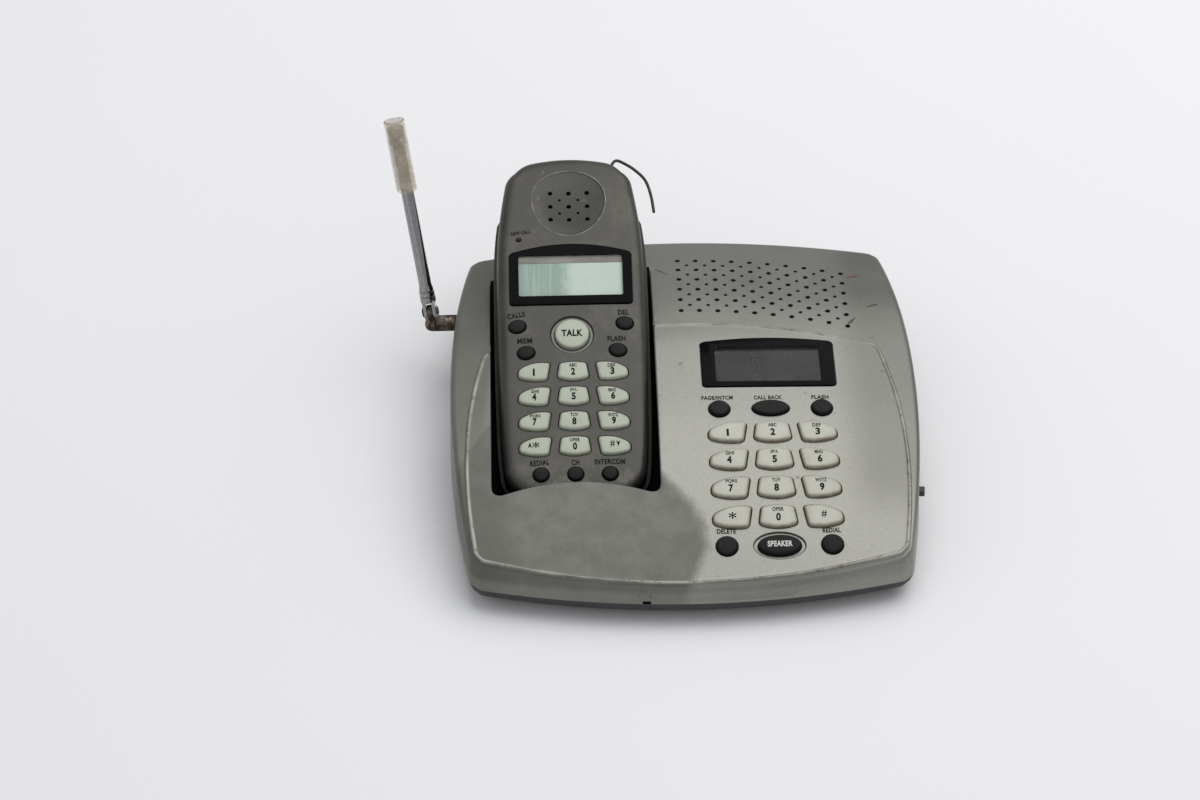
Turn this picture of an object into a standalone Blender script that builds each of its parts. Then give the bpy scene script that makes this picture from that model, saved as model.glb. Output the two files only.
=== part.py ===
"""Cordless desk telephone: a speakerphone base with a handset lying in its cradle pocket.

Metres, +Z up. X runs across the base, Y from its front edge to its rear, and the feet stand on Z = 0.
"""

import math

import bmesh
import bpy
from mathutils import Matrix, Vector

MM = 0.001
DEGREE = math.pi / 180

# Fits, and how far cutters reach below and above a face
FIT = 0.3 * MM
FLANGE_CLEARANCE = 0.6 * MM
HOLE_DEPTH = 8.0 * MM
CUT_HEIGHT = 6.0 * MM

# Base plan at the parting line (rim), and how far the walls lean in up to the deck's edge
RIM_FRONT = -98.4 * MM
RIM_REAR = 103.4 * MM
RIM_HALF_WIDTH = 88.0 * MM
RIM_SIDE_BOW = 8.8 * MM
WALL_LEAN_FRONT = 2.4 * MM
WALL_LEAN_REAR = 1.2 * MM
WALL_LEAN_SIDE = 0.4 * MM
WALL_LEAN_MIDDLE = 0.7 * MM
EDGE_FRONT = RIM_FRONT + WALL_LEAN_FRONT
EDGE_REAR = RIM_REAR - WALL_LEAN_REAR
EDGE_HALF_WIDTH = RIM_HALF_WIDTH - WALL_LEAN_SIDE
EDGE_SIDE_BOW = RIM_SIDE_BOW + WALL_LEAN_SIDE - WALL_LEAN_MIDDLE
FRONT_BOW = 11.5 * MM
REAR_BOW = 9.0 * MM
CORNER_RADIUS = 4.6 * MM

# How far a corner of the grid is drawn in for its round corner, as a share of the radius
CORNER_PULL = 0.29

# Base heights
FOOT_HEIGHT = 1.2 * MM
UNDERSIDE = FOOT_HEIGHT + FIT
RIM_HEIGHT = 10.0 * MM
RIM_BAND = 1.2 * MM
BASE_WALL = 2.2 * MM
BOTTOM_WALL = 1.8 * MM
SHOULDER_RADIUS = 2.4 * MM
BOTTOM_TUCK = 9.0 * MM
UNDER_DECK_INSET = 3.6 * MM
DECK_CROWN = 3.0 * MM
# Height of the deck's centre line, from the front edge over the crest to the rear edge
DECK_KNOTS = (
    (-98 * MM, 15.2 * MM),
    (-67 * MM, 26.4 * MM),
    (-27 * MM, 36.5 * MM),
    (8 * MM, 40.8 * MM),
    (46 * MM, 42.9 * MM),
    (76 * MM, 41.0 * MM),
    (100 * MM, 37.2 * MM),
)

# Raised key panel on the front part of the deck
PANEL_RAISE = 0.8 * MM
PANEL_SIDE_MARGIN = 3.3 * MM
PANEL_HALF_WIDTH = EDGE_HALF_WIDTH - PANEL_SIDE_MARGIN
PANEL_SIDE_BOW = 5.6 * MM
PANEL_TAPER = -2.0 * MM
PANEL_REAR = 37.5 * MM
PANEL_REAR_BOW = 13.5 * MM
PANEL_MARGIN = 1.2 * MM
PANEL_CORNER = 4.0 * MM

# Cradle pocket for the handset
POCKET_X = -45.3 * MM
POCKET_HALF_WIDTH = 34.0 * MM
POCKET_FRONT = -55.6 * MM
POCKET_REAR = 130.0 * MM
POCKET_TAB = 6.9 * MM
POCKET_CORNER = 6.0 * MM
POCKET_WALL = 2.0 * MM
POCKET_FLOOR = 6.6 * MM
POCKET_TILT = 14.0 * DEGREE
ABOVE_POCKET = 7.0 * MM

# Base keypad
KEY_WIDTH = 15.6 * MM
KEY_DEPTH = 10.4 * MM
KEY_RISE = 1.7 * MM
KEYPAD_X = 35.0 * MM
KEYPAD_Y = -46.9 * MM
KEY_PITCH_X = 18.1 * MM
KEY_PITCH_Y = 13.4 * MM
KEY_FLANGE = 0.8 * MM
KEY_BEVEL = 0.7 * MM
FLANGE_THICKNESS = 0.9 * MM
ROUND_BUTTON_RADIUS = 4.15 * MM
ROUND_BUTTON_PITCH = 21.0 * MM
CALL_BACK_HALF = (7.5 * MM, 4.0 * MM)
SPEAKER_HALF = (8.7 * MM, 4.4 * MM)
SPEAKER_RECESS = 1.5 * MM
SPEAKER_RECESS_DEPTH = 0.9 * MM
SPEAKER_RECESS_SLOPE = 0.5 * MM
UPPER_ROW_GAP = 12.8 * MM
LOWER_ROW_GAP = 12.3 * MM
UPPER_ROW_Y = KEYPAD_Y + 1.5 * KEY_PITCH_Y + UPPER_ROW_GAP
LOWER_ROW_Y = KEYPAD_Y - 1.5 * KEY_PITCH_Y - LOWER_ROW_GAP

# Base display
BASE_WINDOW_X = 35.3 * MM
BASE_WINDOW_Y = 11.6 * MM
BASE_WINDOW_HALF = (27.6 * MM, 13.2 * MM)
BASE_WINDOW_ARCH = 2.4 * MM
BASE_SCREEN_HALF = (21.8 * MM, 10.4 * MM)
WINDOW_THICKNESS = 1.3 * MM
WINDOW_PROUD = 0.3 * MM
WINDOW_CORNER = 2.0 * MM
WINDOW_EDGE = 0.3 * MM
SCREEN_THICKNESS = 3.0 * MM
SCREEN_BORDER = 2.0 * MM
SCREEN_CORNER = 1.0 * MM

# Speaker grille and loudspeaker
GRILLE_X = 1.0 * MM
GRILLE_Y = 84.7 * MM
GRILLE_COLUMNS = 10
GRILLE_ROWS = 6
GRILLE_PITCH_X = 7.72 * MM
GRILLE_PITCH_Y = 7.6 * MM
GRILLE_BOW = 2.2
GRILLE_HOLE = 1.15 * MM
GRILLE_SMALL_HOLE = 0.85 * MM
LOUDSPEAKER_RADIUS = 28.5 * MM
LOUDSPEAKER_DEPTH = 18.0 * MM
LOUDSPEAKER_SEAT = 5.4 * MM
POST_RADIUS = 1.5 * MM
POST_LENGTH = 12.0 * MM

# Circuit board
BOARD_HALF_WIDTH = 38.0 * MM
BOARD_FRONT = -85.0 * MM
BOARD_REAR = -5.0 * MM
BOARD_DEPTH = 7.0 * MM
BOARD_THICKNESS = 1.6 * MM
BOARD_MARGIN = 3.5 * MM

# Feet
FOOT_LENGTH = 110.0 * MM
FOOT_WIDTH = 8.0 * MM
FOOT_Y = 68.0 * MM

# Jacks at the rear
JACK_X = 15.0 * MM
JACK_SIZE = (32.0 * MM, 15.0 * MM, 11.0 * MM)
JACK_BASE = 10.6 * MM
LINE_SOCKET = (9.6 * MM, 12.0 * MM, 6.8 * MM)
POWER_RADIUS = 3.2 * MM
POWER_PIN_RADIUS = 1.0 * MM
POWER_DEPTH = 9.0 * MM
SOCKET_SPACING = 7.5 * MM
SOCKET_REACH = 2.0 * MM
PLINTH_MARGIN = 2.0 * MM
PLINTH_DEPTH = 6.6 * MM
PLINTH_FORWARD = 3.8 * MM
JACK_INSET = 4.5 * MM
JACK_BEHIND = 1.5 * MM

# Microphone notch in the front rim
NOTCH_X = -18.5 * MM
NOTCH_SIZE = (3.3 * MM, 8.0 * MM, 1.4 * MM)

# Volume slider in the right wall
SLIDER_Y = -42.0 * MM
SLIDER_Z = 17.0 * MM
SLIDER_KNOB = (3.4 * MM, 2.8 * MM)
SLIDER_PROUD = 2.2 * MM
SLIDER_TRAVEL = 4.0 * MM
SLIDER_PLATE = (16.0 * MM, 7.0 * MM, 1.2 * MM)

# Antenna
STUB_Y = 62.0 * MM
STUB_Z = 26.5 * MM
STUB_RADIUS = 3.45 * MM
STUB_LENGTH = 20.0 * MM
STUB_REACH = 7.2 * MM
STUB_OUTER = -RIM_HALF_WIDTH - RIM_SIDE_BOW - STUB_REACH
STUB_INNER = STUB_OUTER + STUB_LENGTH
BALL_RADIUS = STUB_RADIUS + 0.1 * MM
PIVOT_OUT = 1.0 * MM
PIVOT_FORWARD = 2.0 * MM
PIVOT_ABOVE = 8.0 * MM
PIVOT = Vector((STUB_OUTER - PIVOT_OUT, STUB_Y - PIVOT_FORWARD, STUB_Z + PIVOT_ABOVE))
ANTENNA_LEAN_BACK = 19.0 * DEGREE
ANTENNA_LEAN_OUT = 9.0 * DEGREE
TONGUE_THICKNESS = 2.0 * MM
CHEEK_THICKNESS = 1.3 * MM
EYE_RADIUS = 3.0 * MM
RIVET_RADIUS = 1.1 * MM
RIVET_HEAD_RADIUS = 2.0 * MM
RIVET_HEAD = 0.7 * MM
FERRULE_RADIUS = 3.3 * MM
FERRULE_START = 4.6 * MM
TUBE_START = 9.5 * MM
TUBE_RADIUS = 2.65 * MM
TUBE_BORE = 2.2 * MM
TUBE_END = 74.6 * MM
MIDDLE_RADIUS = 1.9 * MM
MIDDLE_BORE = 1.45 * MM
MIDDLE_START = 13.0 * MM
ROD_RADIUS = 1.15 * MM
ROD_START = 15.0 * MM
CAP_RADIUS = 3.45 * MM
CAP_END = 83.0 * MM
SLEEVE_RADIUS = 4.35 * MM
SLEEVE_BORE = CAP_RADIUS + FIT
SLEEVE_START = 54.5 * MM
SLEEVE_END = 85.5 * MM

# Handset, in its own frame: X across, Y towards the head, Z out of its face
HANDSET_TILT = 18.5 * DEGREE
FACE_OFFSET = 39.4 * MM
HANDSET_END = -39.0 * MM
HANDSET_HEAD = 130.7 * MM
HANDSET_END_BOW = 1.5 * MM
HANDSET_HEAD_BOW = 5.0 * MM
HANDSET_WIDTH_KNOTS = (
    (-39 * MM, 27.6 * MM),
    (-10 * MM, 30.2 * MM),
    (70 * MM, 31.0 * MM),
    (95 * MM, 29.9 * MM),
    (129 * MM, 25.2 * MM),
)
HANDSET_END_CORNER = 12.0 * MM
HANDSET_HEAD_CORNER = 9.0 * MM
HANDSET_PARTING = -10.0 * MM
PARTING_BAND = 1.0 * MM
HANDSET_WALL = 2.0 * MM
HANDSET_CROWN = 0.6 * MM
HEAD_DROP = 2.6 * MM
HEAD_DROP_START = 108.0 * MM
END_DROP = 1.2 * MM
END_DROP_START = -22.0 * MM
FACE_ROUND = 5.0 * MM
FACE_ROUND_DROP = 4.6 * MM
FLANGE_WIDTH = 1.4 * MM
FLANGE_STEP = 100.0 * MM
FLANGE_FADE = 4.0 * MM
BACK_ROUND = 5.0 * MM
BACK_WALL = 1.8 * MM

# Handset keypad
HANDSET_KEY_WIDTH = 13.2 * MM
HANDSET_KEY_DEPTH = 9.0 * MM
HANDSET_KEY_RISE = 1.3 * MM
HANDSET_KEYPAD_Y = 2.4 * MM
HANDSET_PITCH_X = 15.95 * MM
HANDSET_PITCH_Y = 11.95 * MM
SMALL_BUTTON_HALF = (3.5 * MM, 3.0 * MM)
BOTTOM_BUTTON_RADIUS = 3.1 * MM
BOTTOM_ROW_Y = -28.6 * MM
BOTTOM_ROW_PITCH = 14.0 * MM
TALK_Y = 38.4 * MM
TALK_RADIUS = 7.1 * MM
TALK_RECESS = 2.2 * MM
TALK_RECESS_DEPTH = 1.1 * MM
TALK_RECESS_SLOPE = 0.6 * MM
UPPER_BUTTONS = (
    ("handset_calls_button", -22.6 * MM, 42.8 * MM, 12 * DEGREE),
    ("handset_memory_button", -19.2 * MM, 29.8 * MM, 12 * DEGREE),
    ("handset_delete_button", 22.0 * MM, 43.6 * MM, -12 * DEGREE),
    ("handset_flash_button", 18.8 * MM, 30.4 * MM, -12 * DEGREE),
)

# Handset display and earpiece
HANDSET_WINDOW_Y = 66.3 * MM
HANDSET_WINDOW_HALF = (25.7 * MM, 13.0 * MM)
HANDSET_WINDOW_ARCH = 4.0 * MM
HANDSET_SCREEN_HALF = (21.9 * MM, 8.8 * MM)
EARPIECE_Y = 105.6 * MM
EARPIECE_HALF = (15.8 * MM, 16.9 * MM)
EARPIECE_DEPTH = 0.8 * MM
EARPIECE_SLOPE = 1.5 * MM
EARPIECE_PITCH = (7.8 * MM, 6.8 * MM)
EARPIECE_HOLES_Y = 103.0 * MM
EARPIECE_HOLE = 1.0 * MM
EARPIECE_HOLE_DEPTH = 16.0 * MM
EARPIECE_SMALL_HOLE = 0.6 * MM

# Stiff aerial wire through the head's wall at the right, in the handset's frame
WIRE_RADIUS = 0.65 * MM
WIRE_POINTS = (
    Vector((18.0 * MM, 123.2 * MM, -5.9 * MM)),
    Vector((18.8 * MM, 128.2 * MM, -6.0 * MM)),
    Vector((20.6 * MM, 131.0 * MM, -6.2 * MM)),
    Vector((24.6 * MM, 128.9 * MM, -6.8 * MM)),
    Vector((29.0 * MM, 126.2 * MM, -7.6 * MM)),
    Vector((33.2 * MM, 121.4 * MM, -8.4 * MM)),
    Vector((35.4 * MM, 114.2 * MM, -9.4 * MM)),
    Vector((36.4 * MM, 106.4 * MM, -10.4 * MM)),
)

# Battery compartment, in the frame of the handset's back
COVER_HALF_WIDTH = 21.7 * MM
COVER_TOP = 30.0 * MM
COVER_HEIGHT = 2.0 * MM
COVER_REACH = 15.0 * MM
COVER_TOOL_HEIGHT = 10.0 * MM
CELL_RADIUS = 5.2 * MM
CELL_LENGTH = 44.0 * MM
CELL_OVERLAP = 0.3 * MM
CELL_SPACING = 2 * CELL_RADIUS - CELL_OVERLAP
CELL_Y = 2.0 * MM

# The whole telephone stands with the middle of its box at the origin
CENTRE_X = -12.6 * MM
CENTRE_Y = 10.5 * MM
CENTRE = Vector((CENTRE_X, CENTRE_Y, 0))

# Outlines of the key caps, as shares of half the cap's width and depth
MIDDLE_KEY = (
    ((-0.99, -0.66), (0.99, -0.66), (0.84, 0.86), (-0.84, 0.86)),
    (0.34, 0, 0.14, 0),
    (0.30, 0.30, 0.26, 0.26),
)
LEFT_KEY = (
    ((-1.03, -0.58), (0.78, -0.90), (0.99, 0.90), (-1.00, 0.22)),
    (0.22, 0, 0.26, 0),
    (0.33, 0.28, 0.24, 0.33),
)


def clear_scene():
    for obj in list(bpy.data.objects):
        bpy.data.objects.remove(obj, do_unlink=True)


def make_collections():
    groups = []
    for name in ("cordless_telephone", "cutters"):
        group = bpy.data.collections.new(name)
        bpy.context.scene.collection.children.link(group)
        groups.append(group)
    return groups


def material(name, colour, roughness, metallic=0.0, alpha=1.0):
    made = bpy.data.materials.new(name)
    made.use_nodes = True
    shader = made.node_tree.nodes["Principled BSDF"]
    shader.inputs["Base Color"].default_value = (*colour, 1)
    shader.inputs["Roughness"].default_value = roughness
    shader.inputs["Metallic"].default_value = metallic
    shader.inputs["Alpha"].default_value = alpha
    made.diffuse_color = (*colour, 1)
    return made


def ease(knots, at):
    """Smooth curve through knots of (place, value)."""
    places = [knot[0] for knot in knots]
    values = [knot[1] for knot in knots]
    last = len(knots) - 1
    slopes = []
    for i in range(len(knots)):
        low, high = max(i - 1, 0), min(i + 1, last)
        slopes.append((values[high] - values[low]) / (places[high] - places[low]))
    if at <= places[0]:
        return values[0] + slopes[0] * (at - places[0])
    if at >= places[last]:
        return values[last] + slopes[last] * (at - places[last])
    i = max(k for k in range(last) if places[k] <= at)
    span = places[i + 1] - places[i]
    t = (at - places[i]) / span
    return (
        values[i] * (1 + 2 * t) * (1 - t) ** 2
        + slopes[i] * span * t * (1 - t) ** 2
        + values[i + 1] * t * t * (3 - 2 * t)
        - slopes[i + 1] * span * t * t * (1 - t)
    )


def deck_height(x, y):
    share = (y - RIM_FRONT) / (RIM_REAR - RIM_FRONT)
    return ease(DECK_KNOTS, y) - DECK_CROWN * share * (x / EDGE_HALF_WIDTH) ** 2


def panel_height(x, y):
    return deck_height(x, y) + PANEL_RAISE


def pocket_floor(y):
    return POCKET_FLOOR + (y - POCKET_FRONT) * math.tan(POCKET_TILT)


def face_height(x, y):
    """The handset's face: a slight crown that falls away at the head and at the lower end."""
    head = max(0.0, (y - HEAD_DROP_START) / (HANDSET_HEAD - HEAD_DROP_START))
    end = max(0.0, (END_DROP_START - y) / (END_DROP_START - HANDSET_END))
    crown = HANDSET_CROWN * (x / HANDSET_WIDTH_KNOTS[2][1]) ** 2
    return -crown - HEAD_DROP * head**2 - END_DROP * end**2


def surface_frame(height, x, y, turn=0.0):
    """Frame on a height field: its Z is the surface's normal."""
    step = 0.5 * MM
    across = Vector((2 * step, 0, height(x + step, y) - height(x - step, y))).normalized()
    along = Vector((0, 2 * step, height(x, y + step) - height(x, y - step))).normalized()
    normal = across.cross(along).normalized()
    along = normal.cross(across)
    frame = Matrix((across, along, normal)).transposed().to_4x4()
    frame.translation = (x, y, height(x, y))
    return frame @ Matrix.Rotation(turn, 4, "Z")


class Plan:
    """A plan with bowed sides and rounded corners, reached by shares from -1 to 1 across and along."""

    def __init__(self, front, rear, half_width, front_bow, rear_bow, side_bow, corner):
        self.front, self.rear = front, rear
        self.half_width, self.side_bow = half_width, side_bow
        self.front_bow, self.rear_bow = front_bow, rear_bow
        self.front_corner = self.rear_corner = corner
        self.taper = 0.0

    def half(self, y, along):
        return self.half_width + self.taper * along + self.side_bow * (1 - along * along)

    def place(self, across, along, inset=0.0):
        front = self.front + inset + self.front_bow * across * across
        rear = self.rear - inset - self.rear_bow * across * across
        y = front + (rear - front) * (along + 1) / 2
        half = self.half(y, along) - inset
        corner = max(0.1 * MM, (self.front_corner if along < 0 else self.rear_corner) - inset)
        pull_x = max(0.0, 1 - (1 - abs(across)) * half / corner)
        pull_y = max(0.0, 1 - (1 - abs(along)) * (rear - front) / 2 / corner)
        pull = CORNER_PULL * corner * pull_x**2 * pull_y**2
        return across * half - math.copysign(pull, across), y - math.copysign(pull, along)


class HandsetPlan(Plan):
    def __init__(self, widen=0.0):
        super().__init__(
            HANDSET_END, HANDSET_HEAD, 0, HANDSET_END_BOW, HANDSET_HEAD_BOW, 0, HANDSET_END_CORNER
        )
        self.rear_corner = HANDSET_HEAD_CORNER
        self.widen = widen

    def half(self, y, along):
        fade = min(1.0, max(0.0, (FLANGE_STEP + FLANGE_FADE - y) / FLANGE_FADE))
        return ease(HANDSET_WIDTH_KNOTS, y) + self.widen * fade


# Where the grids' lines lie, as shares of a plan. The closest ones lie at its round corners
BASE_ACROSS = (-1, -0.985, -0.95, -0.45, 0, 0.45, 0.95, 0.985, 1)
PANEL_ALONG = (-1, -0.98, -0.94, -0.65, -0.35, -0.1, 0.2, 0.55, 0.94, 0.98, 1)
BASE_ALONG = (
    *(-1, -0.985, -0.95, -0.74, -0.54, -0.35, -0.17, 0.03),
    *(0.25, 0.45, 0.62, 0.79, 0.95, 0.985, 1),
)
TRAY_ALONG = (-1, -0.985, -0.95, -0.54, -0.17, 0.25, 0.62, 0.95, 0.985, 1)
HANDSET_ACROSS = (-1, -0.8, -0.5, 0, 0.5, 0.8, 1)
HANDSET_ALONG = (-1, -0.93, -0.85, -0.6, -0.1, 0.35, 0.6, 0.68, 0.8, 0.89, 0.95, 1)


def rim_walk(across, along):
    """The shares round the edge of a grid, anticlockwise from the front left corner."""
    walk = [(u, along[0]) for u in across[:-1]]
    walk += [(across[-1], v) for v in along[:-1]]
    walk += [(u, along[-1]) for u in reversed(across[1:])]
    walk += [(across[0], v) for v in reversed(along[1:])]
    return walk


def new_object(name, bm, finish, group):
    mesh = bpy.data.meshes.new(name)
    bm.to_mesh(mesh)
    bm.free()
    if finish:
        mesh.materials.append(finish)
    obj = bpy.data.objects.new(name, mesh)
    group.objects.link(obj)
    return obj


def helper(obj):
    obj.hide_render = True
    obj.display_type = "WIRE"
    return obj


def smooth(obj, degrees=35):
    obj.data.shade_smooth()
    obj.data.set_sharp_from_angle(angle=degrees * DEGREE)


def surface_mesh(across, along, middle, rings, flat=False, downwards=False):
    """An open surface: a grid with its edge carried on through rings, as functions of the shares."""
    bm = bmesh.new()
    walk = rim_walk(across, along)
    if flat:
        edge = [bm.verts.new(middle(u, v)) for u, v in walk]
        bm.faces.new(edge)
    else:
        grid = {(u, v): bm.verts.new(middle(u, v)) for u in across for v in along}
        for u, right in zip(across, across[1:]):
            for v, behind in zip(along, along[1:]):
                bm.faces.new([grid[u, v], grid[right, v], grid[right, behind], grid[u, behind]])
        edge = [grid[share] for share in walk]
    for ring in rings:
        outer = [bm.verts.new(ring(u, v)) for u, v in walk]
        for k in range(len(walk)):
            after = (k + 1) % len(walk)
            bm.faces.new([outer[k], outer[after], edge[after], edge[k]])
        edge = outer
    if downwards:
        bmesh.ops.reverse_faces(bm, faces=bm.faces)
    return bm


def close_below(bm):
    """Closes the one open edge loop of a surface with a flat face."""
    loose = [edge for edge in bm.edges if len(edge.link_faces) == 1]
    bmesh.ops.holes_fill(bm, edges=loose)
    bmesh.ops.recalc_face_normals(bm, faces=bm.faces)
    return bm


def loft(bm, rings):
    """Adds one closed body through rings of points, anticlockwise and from low to high."""
    rows = [[bm.verts.new(point) for point in ring] for ring in rings]
    count = len(rows[0])
    for lower, upper in zip(rows, rows[1:]):
        for k in range(count):
            after = (k + 1) % count
            bm.faces.new((lower[k], lower[after], upper[after], upper[k]))
    bm.faces.new(reversed(rows[0]))
    bm.faces.new(rows[-1])


def lofted(name, rings, finish, group, frame=None):
    bm = bmesh.new()
    loft(bm, rings)
    obj = new_object(name, bm, finish, group)
    if frame is not None:
        obj.matrix_world = frame
    return obj


def add_box(bm, size, centre, frame=None):
    placed = (frame or Matrix()) @ Matrix.Translation(centre) @ Matrix.Diagonal((*size, 1))
    bmesh.ops.create_cube(bm, size=1, matrix=placed)


def add_cylinder(bm, radius, depth, frame, sides=12):
    bmesh.ops.create_cone(
        bm, cap_ends=True, segments=sides, radius1=radius, radius2=radius, depth=depth, matrix=frame
    )


def oval(half_x, half_y, sides=12, turn=0.0):
    points = []
    for k in range(sides):
        angle = 2 * math.pi * (k + 0.5) / sides
        x, y = half_x * math.cos(angle), half_y * math.sin(angle)
        points.append((x * math.cos(turn) - y * math.sin(turn), x * math.sin(turn) + y * math.cos(turn)))
    return points


def bowed(a, b, bow, share):
    """Point on a side from a to b that bows outwards."""
    out = Vector((b.y - a.y, a.x - b.x)).normalized()
    return a.lerp(b, share) + out * bow * 4 * share * (1 - share)


def outline(corners, bows, setbacks, side_steps=4, corner_steps=2):
    """Closed anticlockwise outline of sides between rounded corners. A side that bows has side_steps."""
    corners = [Vector(corner) for corner in corners]
    count = len(corners)
    points = []
    for i in range(count):
        here, there, beyond = corners[i], corners[(i + 1) % count], corners[(i + 2) % count]
        length = (there - here).length
        start, stop = setbacks[i] / length, 1 - setbacks[(i + 1) % count] / length
        steps = side_steps if bows[i] else 1
        for k in range(steps + 1):
            points.append(bowed(here, there, bows[i], start + (stop - start) * k / steps))
        turn = (i + 1) % count
        after = bowed(there, beyond, bows[turn], setbacks[turn] / (beyond - there).length)
        before = points[-1]
        for k in range(1, corner_steps):
            t = k / corner_steps
            points.append(before * (1 - t) ** 2 + there * 2 * t * (1 - t) + after * t * t)
    return [(point.x, point.y) for point in points]


def key_outline(column, width, depth):
    corners, bows, setbacks = MIDDLE_KEY if column == 1 else LEFT_KEY
    corners = [(x * width / 2, y * depth / 2) for x, y in corners]
    bows = [bow * depth / 2 for bow in bows]
    setbacks = [setback * depth / 2 for setback in setbacks]
    points = outline(corners, bows, setbacks, side_steps=2, corner_steps=2)
    if column == 2:
        points = [(-x, y) for x, y in reversed(points)]
    return points


def window_outline(half_x, half_y, arch, corner, side_steps=5):
    corners = ((-half_x, -half_y), (half_x, -half_y), (half_x, half_y), (-half_x, half_y))
    return outline(corners, (0, 0, arch, 0), (corner,) * 4, side_steps=side_steps, corner_steps=3)


def grown(points, distance):
    """The outline moved outwards by a distance."""
    moved = []
    count = len(points)
    for k in range(count):
        here = Vector(points[k])
        before = (here - Vector(points[k - 1])).normalized()
        after = (Vector(points[(k + 1) % count]) - here).normalized()
        out = Vector(((before + after).y, -(before + after).x)).normalized()
        stretch = max(0.4, out.dot(Vector((after.y, -after.x))))
        moved.append(tuple(here + out * distance / stretch))
    return moved


def level(points, height):
    return [Vector((x, y, height)) for x, y in points]


def prism_rings(points, low, high):
    return [level(points, low), level(points, high)]


def boolean(obj, operation, tool):
    modifier = obj.modifiers.new(f"{operation.lower()} {tool.name}", "BOOLEAN")
    modifier.operation = operation
    modifier.solver = "EXACT"
    modifier.object = tool
    return modifier


def solidify(obj, thickness):
    modifier = obj.modifiers.new("wall", "SOLIDIFY")
    modifier.thickness = thickness
    modifier.offset = -1
    modifier.use_even_offset = True
    modifier.use_quality_normals = True


def attach(obj, parent):
    """Parents an object whose place was set in its parent's frame."""
    placed = obj.matrix_world.copy()
    obj.parent = parent
    obj.matrix_parent_inverse = Matrix()
    obj.matrix_local = placed
    return obj


def empty(name, frame, parent, group):
    obj = bpy.data.objects.new(name, None)
    obj.empty_display_size = 10 * MM
    group.objects.link(obj)
    obj.matrix_world = frame
    if parent:
        attach(obj, parent)
    return obj


RIM = Plan(RIM_FRONT, RIM_REAR, RIM_HALF_WIDTH, FRONT_BOW, REAR_BOW, RIM_SIDE_BOW, CORNER_RADIUS)
EDGE = Plan(EDGE_FRONT, EDGE_REAR, EDGE_HALF_WIDTH, FRONT_BOW, REAR_BOW, EDGE_SIDE_BOW, CORNER_RADIUS)


def edge_point(u, v, inset=0.0, drop=0.0):
    x, y = EDGE.place(u, v, inset)
    return Vector((x, y, deck_height(x, y) - drop))


def wall_point(u, v, share, inset=0.0):
    """Point on the base's outer wall, from the rim (0) to the deck's edge (1)."""
    x, y = RIM.place(u, v, inset)
    return Vector((x, y, RIM_HEIGHT)).lerp(edge_point(u, v, inset), share)


def shoulder_start(u, v, inset=0.0):
    height = edge_point(u, v, inset).z - RIM_HEIGHT
    return 1 - SHOULDER_RADIUS / height


def shoulder_point(u, v, share, inset=0.0):
    """Point on the rounded shoulder, from the wall (0) to the deck (1)."""
    low = wall_point(u, v, shoulder_start(u, v, inset), inset)
    high = edge_point(u, v, inset + SHOULDER_RADIUS)
    corner = edge_point(u, v, inset)
    return low * (1 - share) ** 2 + corner * 2 * share * (1 - share) + high * share * share


def side_frame(side, y, z):
    """Frame on a side wall, the left one at -1 and the right one at 1: X out of it and Y along it."""

    def at(place_y, place_z):
        along = (place_y - RIM_FRONT - FRONT_BOW) / (RIM_REAR - REAR_BOW - RIM_FRONT - FRONT_BOW)
        v = 2 * along - 1
        top = edge_point(1, v).z
        share = (place_z - RIM_HEIGHT) / (top - RIM_HEIGHT)
        return Vector((side * wall_point(1, v, share).x, place_y, place_z))

    step = 1 * MM
    along = (at(y + step, z) - at(y - step, z)).normalized()
    up = (at(y, z + step) - at(y, z - step)).normalized()
    out = along.cross(up).normalized() * side
    along = up.cross(out).normalized()
    up = out.cross(along)
    frame = Matrix((out, along, up)).transposed().to_4x4()
    frame.translation = at(y, z)
    return frame


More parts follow.
